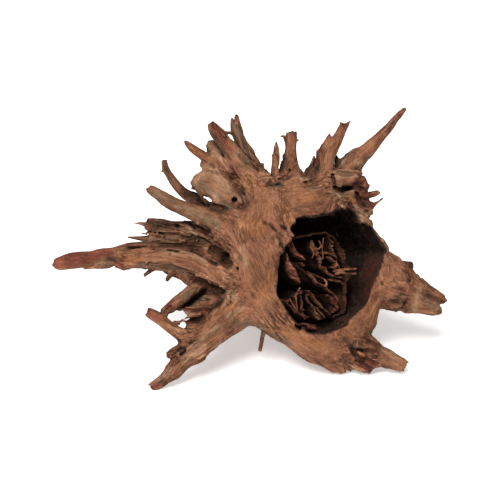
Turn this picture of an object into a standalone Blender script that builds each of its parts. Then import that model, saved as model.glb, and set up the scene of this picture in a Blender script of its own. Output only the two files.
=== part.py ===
"""Aquarium driftwood: the hollow crown of an old root stump, as one solid.

The rotted trunk is a deep cup whose mouth faces forward and a little to the right. Thin fins of
harder heartwood are left standing in it, and the roots, broken off short, spread on all sides.

The wood is drawn as it is seen from the front, by a viewer who looks down on it by LOOK_DOWN. A
point is (across, up, out) in millimetres: across to the right and up in the plane of that view,
and out towards the viewer. A fourth number is the radius of the wood there.
"""

import math

import bmesh
import bpy
import numpy as np

MM = 0.001
LOOK_DOWN = math.radians(22.0)
VIEWER_DISTANCE = 1600.0
SEAT_DEPTH = 108.5  # from the middle of the view down to the ground that the feet stand on
MIDDLE = (1.5, 28.7)  # the middle of the whole piece, in plan, from the middle of the view

SIDES = 12
STEP = 5.0  # spacing of the rings along a root
BARK = 0.7  # added to every root's radius
VOXEL = 2.2
SMOOTHING_ROUNDS = 2
TRIANGLES = 11800

# The mouth of the hollow trunk, clockwise from its left-hand corner: (across, up).
MOUTH_CENTRE = (82.0, -22.0, 31.0)
MOUTH_RIM = [
    (29, -16), (34, 3), (44, 13), (43, 25), (50, 33), (77, 34), (92, 40), (101, 42), (112, 31),
    (125, 17), (135, 3), (132, -6), (122, -20), (114, -38), (107, -56), (95, -69), (83, -76),
    (62, -85), (48, -83), (34, -71), (27, -48),
]
HOLLOW_DEPTH = 98.0
HOLLOW_TURN = math.radians(25.0)  # the mouth faces this far to the right of the viewer
# How wide the hollow and the trunk round it are, by the share of the depth behind the mouth.
HOLLOW_PROFILE = [(-0.55, 1.16), (0.0, 1.0), (0.3, 1.0), (0.6, 0.9), (0.85, 0.62), (1.0, 0.2)]
WALL_PROFILE = [(0.0, 0.9), (0.06, 1.0), (0.5, 1.25), (0.9, 1.6), (1.12, 1.9)]
WALL = 11.0
THIN_WALL = 4.6  # where the rim has weathered to an edge, at the upper right
THIN_WALL_FROM, THIN_WALL_TO = math.radians(2.0), math.radians(62.0)

# Swellings of the trunk and the root bases: centre, then half sizes across, up and out.
SWELLINGS = [
    ((16, -8, 16), (32, 62, 34)),
    ((52, 46, 2), (48, 27, 30)),
    ((34, -52, 14), (40, 34, 36)),
    ((72, -88, 20), (32, 24, 22)),
    ((-14, 34, -4), (30, 34, 22)),
    ((64, -4, -46), (60, 56, 40)),
    ((108, -52, -2), (21, 43, 24)),
    ((100, 60, -8), (18, 18, 16)),
    ((-25, 72, -12), (24, 34, 14)),
]

# Roots, each from its broken tip to its base inside the trunk.
ROOTS = {
    "long_root": [(-198.5, -12.5, -4, 2.4), (-191, -13, -4, 6), (-180, -12.5, -4, 8.5),
                  (-160, -10, -4, 8.8), (-136, -6.5, -4, 7.5), (-128, -9, -4, 9.5), (-90, -10, -2, 9.5), (-60, -16, 2, 11),
                  (-37, -25, 8, 13), (-18, -38, 14, 18), (12, -46, 20, 27)],
    "bark_flake": [(-156, -17, -5, 1.5), (-144, -17.5, -5, 2.4), (-135, -14.5, -5, 4), (-120, -12, -4, 6)],
    "bark_strand": [(-137, 1, -7, 1.5), (-118, 5, -7, 3.5), (-90, 4, -7, 5.5), (-60, 0, -5, 6.5),
                    (-34, -6, -1, 8), (-8, -14, 10, 17), (16, -22, 16, 26)],
    "upper_log": [(-104, 26, -12, 4), (-100, 25.5, -12, 7), (-82, 21, -12, 9), (-60, 18.5, -12, 10),
                  (-37, 11, -7, 11), (-13, 2, 4, 18), (16, -6, 16, 28)],
    "upper_splinter": [(-120.5, 25.5, -12, 0.9), (-112, 27, -12, 1.8), (-103, 25, -12, 3),
                       (-92, 22, -12, 4)],
    "curled_strand": [(-123.5, 13, -10, 1.2), (-114, 12, -10, 2.4), (-95, 11, -9, 4), (-65, 8, -8, 6),
                      (-36, 3, -6, 8)],
    "grey_root": [(-104, 63, -2, 3), (-101, 61, -2, 4.6), (-93, 56.5, 0, 5.6), (-80, 48.5, 3, 7),
                  (-64, 40, 6, 8), (-45, 33, 10, 9.5), (-25, 24, 14, 14), (-2, 14, 18, 23),
                  (22, 6, 22, 30)],
    "dark_root": [(-85.5, 91, -30, 2.8), (-84, 80, -30, 3.8), (-77, 69.5, -30, 4.2),
                  (-68, 58, -28, 5.5), (-55, 51, -26, 7), (-38, 40, -22, 8.5), (-12, 26, -14, 12)],
    "orange_root": [(-66, 110, -8, 1.2), (-62, 106, -8, 3.8), (-53, 100, -8, 4.3), (-44, 93, -8, 4.8),
                    (-34, 85, -8, 6), (-16, 68, -6, 10)],
    "blade_root": [(-40, 128.5, 6, 1.8), (-38, 123, 6, 4.6), (-32, 116, 6, 7), (-23, 105, 6, 7.8),
                   (-15, 94, 6, 8.5), (-4, 81, 8, 10), (8, 66, 12, 14), (20, 46, 16, 19), (28, 32, 18, 22)],
    "forked_root": [(-15.5, 134.5, -14, 3.4), (-13.5, 121, -13, 5.2), (-9.5, 110, -12, 6.2),
                    (-4, 99, -11, 6.6), (1, 88, -9, 7.5), (9, 70, -4, 12)],
    "root_bridge": [(-30, 119, 4, 2.2), (-21, 118, -4, 1.8), (-12, 117.5, -12, 2.2)],
    "knob_a": [(-42, 107, -16, 6), (-35, 98, -16, 11), (-26, 78, -12, 14)],
    "knob_b": [(-47, 85, -14, 3), (-38, 78, -14, 7), (-24, 70, -12, 10)],
    "knob_c": [(-57, 62, -18, 4.5), (-50, 62, -18, 8.5), (-36, 58, -14, 13), (-20, 52, -8, 16)],
    "twig_a": [(13, 91, -4, 1.3), (12, 85, -4, 2.2), (11, 74, -2, 5)],
    "thin_spike": [(26.3, 108.6, -6, 1.1), (26.5, 102, -6, 3), (26, 92, -5, 3.8), (25, 80, -3, 5.5),
                   (27, 66, 0, 9)],
    "stub_root": [(43, 119, -12, 3.2), (42.5, 116, -12, 5), (41, 100, -11, 5.8), (40.5, 87, -9, 7),
                  (42, 74, -5, 12), (46, 60, 2, 16), (48, 44, 14, 20)],
    "stub_shred": [(30, 114.5, -10, 1), (35, 113, -11, 1.8), (41, 109, -12, 2.2)],
    "short_blade": [(64, 100, -14, 1.8), (65.5, 89, -14, 5.2), (64, 78, -12, 8), (62, 64, -8, 12)],
    "split_root": [(96, 128.5, -14, 2.8), (95, 125, -14, 4.4), (88.5, 112, -13, 5.6),
                   (80, 100, -11, 7.2), (75, 88, -8, 8.5), (76, 74, -4, 12), (78, 60, 2, 15),
                   (78, 46, 8, 18)],
    "split_prong": [(78.5, 117, -12, 1.6), (77, 110, -12, 3.2), (75, 99, -11, 5.4)],
    "spear_root": [(154.5, 141.5, -30, 1.8), (151.5, 136.5, -30, 3.2), (141.5, 124.5, -30, 5),
                   (129, 110, -28, 6.6), (117, 96, -26, 9), (107, 83, -22, 11.5), (94, 68, -16, 16)],
    "spear_thorn": [(86, 95, -18, 1.2), (88, 88, -18, 3), (93, 78, -16, 6)],
    "cup_knot": [(86, 74, -6, 6), (94, 72, -4, 10), (103, 70, -4, 9), (108, 66, -6, 6)],
    "red_finger_a": [(130, 58.5, 2, 3), (127, 57.8, 2, 4), (118, 55.5, 2, 4.5), (104, 55, 0, 7)],
    "red_finger_b": [(126, 45, -2, 3), (122, 45, -2, 4.5), (112, 46, -2, 6), (100, 48, -2, 8)],
    "red_knot": [(109, 71, -6, 5), (108.5, 64, -2, 6), (102, 56, -2, 9)],
    "pale_spur": [(135.5, 53.5, -6, 1), (130, 49.5, -6, 2.2), (122, 43, -6, 4)],
    "rim_tongue": [(112, 26, -4, 3.5), (113.5, 31, -4, 6.5), (114, 40, -4, 7.5), (110, 50, -4, 9)],
    "right_root": [(198.5, -54, -19, 6), (192, -54.5, -18, 10.5), (180, -52, -16, 13.5),
                   (166, -46, -12, 16.5), (153, -39.5, -8, 21.5), (140, -34, -6, 26), (120, -26, -8, 28)],
    "right_knob": [(165.5, -15, -10, 4.2), (157, -14.5, -8, 5), (142, -17, -6, 9)],
    "low_root": [(160, -119, 16, 4), (154, -117, 17, 7), (143, -113, 18, 9.5), (128, -107, 18, 12.5),
                 (110, -95, 16, 17), (92, -82, 18, 22)],
    "right_foot": [(97, -116, 7, 8.5), (91, -112, 9, 12.8), (84, -104, 17, 17.5), (66, -91, 24, 20),
                   (44, -73, 28, 22), (26, -50, 26, 24)],
    "broken_root": [(123, -117.5, 16, 7.5), (112, -110, 15, 12), (100, -98, 14, 16)],
    "twig_b": [(9.5, -100.5, 18, 2.2), (11.5, -92, 17, 2.2), (13, -84, 16, 2.4), (18, -68, 14, 5)],
    "left_foot": [(-100, -139, 46, 3.6), (-95, -136, 46, 5.2), (-83, -127, 46, 7.4), (-66, -108, 44, 10.5),
                  (-46, -89, 38, 14.5), (-22, -67, 28, 18.5), (5, -46, 20, 24), (30, -35, 10, 30)],
    "foot_stub": [(-84, -105.5, 50, 2.2), (-77, -103.5, 49, 5.6), (-60, -98, 43, 10.5)],
    "cross_root": [(-103, -61.5, 44, 5), (-97, -65, 44, 5.6), (-86, -72, 44, 5.6), (-74, -81, 44, 6.5),
                   (-58, -90, 41, 10)],
    "strut_root": [(-88, -65, 40, 4), (-79, -56.5, 33, 4.8), (-67, -46, 23, 5.5), (-52, -34, 10, 7),
                   (-36, -24, 2, 10)],
    "web_root": [(-63, -57, 24, 4.4), (-50, -52, 19, 7), (-34, -47, 12, 9), (-14, -44, 8, 12)],
    "web_plate": [(-60, -70, 34, 4), (-45, -64, 28, 6), (-28, -58, 20, 9), (-10, -50, 14, 12)],
    "under_plate": [(-86, -20, -4, 2.6), (-72, -24.5, -2, 5), (-58, -30, 2, 6.5), (-42, -36, 4, 9)],
    "peg_a": [(-107, -27, -4, 2), (-101, -23, -4, 2.6), (-91, -14, -3, 3.2)],
    "peg_b": [(-84, -31, 2, 2.2), (-79, -27, 2, 2.8), (-70, -18, 2, 4)],
    "back_foot": [(78, -58, -136, 6), (77, -57, -130, 8.5), (72, -52, -110, 11), (73, -42, -86, 16),
                  (64, -30, -54, 27)],
    "back_left": [(-24, 34, -130, 4.5), (-20, 31, -124, 7), (-13, 20, -108, 9), (-4, 17, -86, 13),
                  (16, 10, -50, 26)],
    "back_top": [(44, 69, -136, 4), (46, 66, -130, 6), (54, 57, -114, 8), (53, 46, -90, 13),
                 (54, 30, -56, 27)],
    "back_right": [(127, -14, -124, 4), (125, -12, -118, 6.5), (116, 0, -100, 9), (110, 6, -80, 14),
                   (92, 8, -46, 25)],
    "back_low": [(-5, -62, -122, 5), (-3, -61, -116, 7), (4, -57, -96, 9.5), (18, -44, -74, 14),
                 (32, -34, -44, 26)],
    "back_stub": [(64, -2, -120, 15), (64, -3, -112, 18), (60, -5, -92, 23), (60, -6, -60, 38)],
}

# Holes that rot has left: routes from the open end inwards, like the roots'.
HOLES = {
    "side_hollow": [(-40, -4, 36, 9), (-30, -6, 24, 9.5), (-23, -9, 13, 8), (-20, -12, 6, 4)],
    "low_pocket": [(-46, -44, 44, 12), (-36, -46, 30, 11.5), (-28, -46, 14, 9), (-22, -44, 4, 5)],
    "broken_end": [(130, -123, 27, 6.5), (121, -115, 18, 6), (112, -106, 12, 4)],
    "rim_pit": [(92, 61, 24, 5), (92, 61, 8, 5), (92, 60, -2, 3)],
}

# Heartwood fins: the front edge of each, (across, up, out), and how far it runs back into the trunk.
FINS = {
    "skin": [(47, 11, 30), (64, 12, 26), (80, 13, 20), (90, 5, 15), (96, -12, 12), (99, -26, 10),
             (96, -42, 10), (95, -58, 10), (88, -70, 10)],
    "upper_fin": [(63, 10, 24), (68, -3, 22), (72, -14, 20), (82, -25, 16), (92, -28, 12)],
    "upper_web": [(83, 10, 17), (84, -2, 17), (80, -10, 18), (70, -9, 22)],
    "long_fin": [(40, -4, 40), (50, -18, 34), (62, -24, 28), (74, -35, 22), (84, -46, 16), (92, -52, 11)],
    "broad_fin": [(32, -12, 40), (44, -28, 38), (54, -38, 32), (66, -49, 26), (78, -62, 18), (84, -68, 12)],
    "low_fin": [(34, -52, 34), (46, -46, 34), (54, -42, 32), (57, -54, 28), (58, -68, 24)],
}
FIN_DEPTH = 68.0
FIN_THICKNESS = 4.6


def upright(points):
    """World coordinates, in metres, of points given as (across, up, out) in the front view.

    A point lies on the viewer's line of sight through (across, up), so it closes in on the
    middle of the view as it comes nearer. The tilt then stands the piece on its feet.
    """
    across, up, out = np.asarray(points, float)[:, :3].T
    nearness = 1.0 - out / VIEWER_DISTANCE
    across, up = across * nearness, up * nearness
    level = up * math.sin(LOOK_DOWN) - out * math.cos(LOOK_DOWN)
    height = up * math.cos(LOOK_DOWN) + out * math.sin(LOOK_DOWN)
    world = np.stack([across - MIDDLE[0], level - MIDDLE[1], height + SEAT_DEPTH], 1)
    return world * MM


def smooth_route(points, step=STEP):
    """A Catmull-Rom curve through the points, with about one sample every step millimetres."""
    given = np.asarray(points, float)
    padded = np.vstack([2 * given[0] - given[1], given, 2 * given[-1] - given[-2]])
    route = []
    for a, b, c, d in zip(padded, padded[1:], padded[2:], padded[3:]):
        count = max(1, round(np.linalg.norm(c[:3] - b[:3]) / step))
        t = (np.arange(count) / count)[:, None]
        route.append(0.5 * (2 * b + (c - a) * t + (2 * a - 5 * b + 4 * c - d) * t**2
                            + (3 * b - a - 3 * c + d) * t**3))
    return np.vstack([*route, given[-1:]])


def new_object(name, bm):
    """A mesh object from a bmesh, which is freed."""
    bmesh.ops.recalc_face_normals(bm, faces=bm.faces)
    mesh = bpy.data.meshes.new(name)
    bm.to_mesh(mesh)
    bm.free()
    obj = bpy.data.objects.new(name, mesh)
    bpy.context.collection.objects.link(obj)
    return obj


def add_rings(bm, rings):
    """Bridges closed rings of world points into one tube and caps both of its ends."""
    loops = [[bm.verts.new(point) for point in ring] for ring in rings]
    for near, far in zip(loops, loops[1:]):
        for i in range(len(near)):
            j = (i + 1) % len(near)
            bm.faces.new((near[i], near[j], far[j], far[i]))
    bm.faces.new(loops[0])
    bm.faces.new(loops[-1])


def add_root(bm, points):
    """A round tube along the points' smooth route, each ring square to the route there."""
    route = smooth_route(points)
    centres = upright(route)
    radii = (np.maximum(route[:, 3], 0.8) + BARK) * (1.0 - route[:, 2] / VIEWER_DISTANCE) * MM
    tangents = np.gradient(centres, axis=0)
    tangents /= np.linalg.norm(tangents, axis=1)[:, None]
    least = np.eye(3)[np.argmin(np.abs(tangents).sum(0))]
    side = np.cross(tangents, least)
    side /= np.linalg.norm(side, axis=1)[:, None]
    other = np.cross(tangents, side)
    angles = 2 * math.pi * np.arange(SIDES) / SIDES
    circle = np.cos(angles)[:, None, None] * side + np.sin(angles)[:, None, None] * other
    rings = centres + radii[:, None] * circle
    add_rings(bm, rings.transpose(1, 0, 2))


def add_swelling(bm, centre, half_sizes):
    """An egg-shaped swelling: a sphere stretched to its half sizes in the view's own directions."""
    made = bmesh.ops.create_icosphere(bm, subdivisions=3, radius=1.0)
    points = np.array([v.co for v in made["verts"]]) * half_sizes + centre
    for vert, place in zip(made["verts"], upright(points)):
        vert.co = place


def add_fin(bm, edge):
    """A thin upright sheet: the front edge's route, made FIN_THICKNESS thick and run back."""
    route = smooth_route(edge)
    along = np.gradient(route[:, :2], axis=0)
    along /= np.linalg.norm(along, axis=1)[:, None]
    offset = np.zeros((len(route), 3))
    offset[:, :2] = along[:, ::-1] * (-FIN_THICKNESS / 2, FIN_THICKNESS / 2)
    back = FIN_DEPTH * np.array([-math.sin(HOLLOW_TURN), 0.0, -math.cos(HOLLOW_TURN)])
    corners = [route + offset, route - offset, route - offset + back, route + offset + back]
    add_rings(bm, np.stack([upright(c) for c in corners], 1))


def mouth_radius(angles):
    """The mouth's polar radius about its centre, read from the rim's points round the circle."""
    rim = np.array(MOUTH_RIM, float) - MOUTH_CENTRE[:2]
    rim[:, 0] /= math.cos(HOLLOW_TURN)
    order = np.argsort(np.arctan2(rim[:, 1], rim[:, 0]))
    at = np.arctan2(rim[:, 1], rim[:, 0])[order]
    return np.interp(angles, at, np.hypot(*rim[order].T), period=2 * math.pi)


def trunk_rings(profile, wall_profile=None):
    """Rings of the hollow, or of the trunk round it where a wall profile is given.

    Each ring is the mouth's outline times the profile's width, moved along the hollow's axis.
    """
    angles = np.linspace(-math.pi, math.pi, 48, endpoint=False)
    thin = np.clip(np.minimum(angles - THIN_WALL_FROM, THIN_WALL_TO - angles) / 0.25, 0, 1)
    wall = WALL + (THIN_WALL - WALL) * thin
    right = np.array([math.cos(HOLLOW_TURN), 0.0, -math.sin(HOLLOW_TURN)])
    inward = np.array([-math.sin(HOLLOW_TURN), 0.0, -math.cos(HOLLOW_TURN)])
    shares = [share for share, _ in (wall_profile or profile)]
    rings = []
    for share in shares:
        radius = mouth_radius(angles) * np.interp(share, *zip(*profile))
        if wall_profile:
            radius = radius + wall * np.interp(share, *zip(*wall_profile))
        ring = (np.array(MOUTH_CENTRE) + share * HOLLOW_DEPTH * inward
                + (radius * np.cos(angles))[:, None] * right
                + (radius * np.sin(angles))[:, None] * (0.0, 1.0, 0.0))
        rings.append(upright(ring))
    return rings


def evaluated_copy(obj, name):
    """A new object that holds obj's mesh with its modifiers applied. obj is removed."""
    graph = bpy.context.evaluated_depsgraph_get()
    mesh = bpy.data.meshes.new_from_object(obj.evaluated_get(graph))
    bpy.data.objects.remove(obj)
    made = bpy.data.objects.new(name, mesh)
    bpy.context.collection.objects.link(made)
    return made


def remesh(obj):
    """Fuses the overlapping shapes of one object into one skin, and rounds their joints."""
    voxels = obj.modifiers.new("fuse", "REMESH")
    voxels.mode = "VOXEL"
    voxels.voxel_size = VOXEL * MM
    smooth = obj.modifiers.new("round", "SMOOTH")
    smooth.factor = 0.5
    smooth.iterations = SMOOTHING_ROUNDS


def make_crown():
    """The trunk, its swellings and the roots, fused, before the hollows are cut."""
    bm = bmesh.new()
    add_rings(bm, trunk_rings(HOLLOW_PROFILE, WALL_PROFILE))
    for centre, half_sizes in SWELLINGS:
        add_swelling(bm, centre, half_sizes)
    for points in ROOTS.values():
        add_root(bm, points)
    crown = new_object("crown", bm)
    remesh(crown)
    return evaluated_copy(crown, "crown")


def cut_hollows(crown):
    """Cuts the mouth's deep hollow and each smaller hole out of the crown."""
    hollow = bmesh.new()
    add_rings(hollow, trunk_rings(HOLLOW_PROFILE))
    cutters = [new_object("hollow_cutter", hollow)]
    for name, points in HOLES.items():
        bm = bmesh.new()
        add_root(bm, points)
        cutters.append(new_object(name, bm))
    for cutter in cutters:
        cut = crown.modifiers.new(cutter.name, "BOOLEAN")
        cut.operation = "DIFFERENCE"
        cut.solver = "EXACT"
        cut.object = cutter
    cut_crown = evaluated_copy(crown, "cut_crown")
    for cutter in cutters:
        bpy.data.objects.remove(cutter)
    return cut_crown


def keep_largest_body(bm):
    """Drops what isn't joined to the largest shell."""
    left = set(bm.verts)
    shells = []
    while left:
        shell, edge = set(), [left.pop()]
        while edge:
            vert = edge.pop()
            shell.add(vert)
            near = {e.other_vert(vert) for e in vert.link_edges} & left
            left -= near
            edge.extend(near)
        shells.append(shell)
    largest = max(shells, key=len)
    bmesh.ops.delete(bm, geom=[v for v in bm.verts if v not in largest], context="VERTS")


def stand_on_ground(bm):
    """Cuts the feet flat at the ground plane."""
    parts = list(bm.verts) + list(bm.edges) + list(bm.faces)
    cut = bmesh.ops.bisect_plane(bm, geom=parts, plane_co=(0, 0, 0), plane_no=(0, 0, -1),
                                 clear_outer=True)
    edges = [e for e in cut["geom_cut"] if isinstance(e, bmesh.types.BMEdge)]
    bmesh.ops.holes_fill(bm, edges=edges)


def wood_material():
    """Weathered, sun-browned wood."""
    material = bpy.data.materials.new("driftwood")
    material.use_nodes = True
    shader = material.node_tree.nodes["Principled BSDF"]
    shader.inputs["Base Color"].default_value = (0.30, 0.15, 0.08, 1.0)
    shader.inputs["Roughness"].default_value = 0.85
    shader.inputs["Metallic"].default_value = 0.0
    return material


def make_driftwood():
    """The whole piece: the cut crown with its fins, thinned out and set on its feet."""
    cut_crown = cut_hollows(make_crown())
    bm = bmesh.new()
    bm.from_mesh(cut_crown.data)
    bpy.data.objects.remove(cut_crown)
    for edge in FINS.values():
        add_fin(bm, edge)
    fused = new_object("fused", bm)
    remesh(fused)
    thin = fused.modifiers.new("thin_out", "DECIMATE")
    bpy.context.view_layer.update()
    graph = bpy.context.evaluated_depsgraph_get()
    thin.show_viewport = False
    bpy.context.view_layer.update()
    count = sum(len(p.vertices) - 2 for p in fused.evaluated_get(graph).data.polygons)
    thin.show_viewport = True
    thin.ratio = TRIANGLES / count
    thin.use_collapse_triangulate = True
    driftwood = evaluated_copy(fused, "driftwood")
    bm = bmesh.new()
    bm.from_mesh(driftwood.data)
    keep_largest_body(bm)
    stand_on_ground(bm)
    bmesh.ops.triangulate(bm, faces=bm.faces)
    bm.to_mesh(driftwood.data)
    bm.free()
    driftwood.data.shade_smooth()
    driftwood.data.materials.clear()
    driftwood.data.materials.append(wood_material())
    return driftwood


def main():
    for obj in list(bpy.data.objects):
        bpy.data.objects.remove(obj)
    make_driftwood()


main()
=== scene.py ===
"""Aquarium driftwood: the hollow, weathered crown of an old root stump.

The wood is worked out as one field of distances: tubes of changing radius for the roots, egg shapes
and a cup for the trunk, all blended where they meet, then hollowed, carved, roughened along the
fibres and turned into a surface. The heartwood fins in the hollow are a second surface, made in the
same way from thin sheets and strings.

A point is (across, up, out) in millimetres as the piece is seen from the front by a viewer who
looks down on it by LOOK_DOWN: across to the right and up in the plane of that view, and out towards
the viewer. A fourth number is the radius of the wood there.
"""

import math

import bpy
import numpy as np
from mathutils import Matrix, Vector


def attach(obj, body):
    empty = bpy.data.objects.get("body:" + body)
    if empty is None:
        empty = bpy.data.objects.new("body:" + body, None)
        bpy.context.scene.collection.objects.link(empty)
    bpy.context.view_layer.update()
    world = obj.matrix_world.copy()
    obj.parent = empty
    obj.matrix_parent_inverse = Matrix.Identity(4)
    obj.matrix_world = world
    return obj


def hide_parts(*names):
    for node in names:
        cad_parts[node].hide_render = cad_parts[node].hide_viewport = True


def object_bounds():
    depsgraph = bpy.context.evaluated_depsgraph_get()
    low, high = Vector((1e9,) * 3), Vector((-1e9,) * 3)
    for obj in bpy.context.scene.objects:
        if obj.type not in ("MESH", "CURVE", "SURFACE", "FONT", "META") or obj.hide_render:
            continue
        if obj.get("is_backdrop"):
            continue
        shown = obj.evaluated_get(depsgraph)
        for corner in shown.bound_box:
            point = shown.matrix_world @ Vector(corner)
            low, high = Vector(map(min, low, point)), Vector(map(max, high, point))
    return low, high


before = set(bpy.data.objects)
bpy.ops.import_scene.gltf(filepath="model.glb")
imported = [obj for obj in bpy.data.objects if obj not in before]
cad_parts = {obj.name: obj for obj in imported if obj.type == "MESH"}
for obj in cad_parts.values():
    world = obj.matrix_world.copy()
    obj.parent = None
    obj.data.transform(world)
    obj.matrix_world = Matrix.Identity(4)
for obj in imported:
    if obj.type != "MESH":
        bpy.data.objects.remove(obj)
CAD_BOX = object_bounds()

MM = 0.001
LOOK_DOWN = math.radians(22.0)
VIEWER_DISTANCE = 1600.0
SEAT_DEPTH = 108.5  # from the middle of the view down to the ground that the feet stand on
MIDDLE = (1.5, 28.7)  # the middle of the whole piece, in plan, from the middle of the view

CELL = 1.18
FIN_CELL = 0.85
FIELD_LOW = np.array([-206.0, -147.0, -148.0])
FIELD_HIGH = np.array([206.0, 147.0, 66.0])
FAR = 30.0  # the distance where no wood is near
THICK = np.float32(22.0)  # the girth of the trunk
NO_WOOD = -999.0  # how far out the wood reaches where there is none
REACH = 13.0  # how far past its surface a root's own field is worked out
TRIANGLES = 196000
FIN_TRIANGLES = 110000

# The mouth of the hollow trunk, clockwise from its left-hand corner: (across, up).
MOUTH_CENTRE = (82.0, -22.0, 31.0)
MOUTH_RIM = [
    (30, -16), (34, 1), (40, 9), (45, 14), (43, 25), (49, 32), (58, 33.5), (74, 34), (84, 37), (93, 41),
    (101, 42), (108, 36), (112, 28), (119, 25), (126, 14), (136, 0), (132, -6), (129, -12), (124, -22),
    (120, -30), (118, -40), (116, -50), (112, -56), (104, -62), (94, -68), (91, -75), (86, -76),
    (78, -81), (63, -84), (54, -82), (47, -74), (39, -65), (32, -54), (28, -42), (29, -30),
]
HOLLOW_DEPTH = 98.0
HOLLOW_TURN = math.radians(25.0)  # the mouth faces this far to the right of the viewer
# How wide the hollow and the trunk round it are, by the share of the depth behind the mouth.
HOLLOW_PROFILE = [(-0.55, 1.05), (0.0, 1.0), (0.3, 1.0), (0.6, 0.9), (0.85, 0.62), (1.0, 0.2)]
WALL_PROFILE = [(0.0, 0.9), (0.06, 1.0), (0.5, 1.25), (0.9, 1.6), (1.12, 1.9)]
WALL = 11.0
THIN_WALL = 3.0  # where the rim has weathered to an edge, at the upper right
THIN_WALL_FROM, THIN_WALL_TO = math.radians(6.0), math.radians(58.0)

# Swellings of the trunk and the root bases: centre, then half sizes across, up and out.
SWELLINGS = [
    ((16, -8, 16), (32, 62, 34)),
    ((52, 46, 2), (48, 27, 30)),
    ((34, -52, 14), (40, 34, 36)),
    ((72, -88, 20), (32, 24, 22)),
    ((-14, 34, -4), (30, 34, 22)),
    ((64, -4, -46), (60, 56, 40)),
    ((108, -52, -2), (21, 43, 24)),
    ((100, 60, -8), (18, 18, 16)),
    ((-25, 72, -12), (24, 34, 14)),
]

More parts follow.
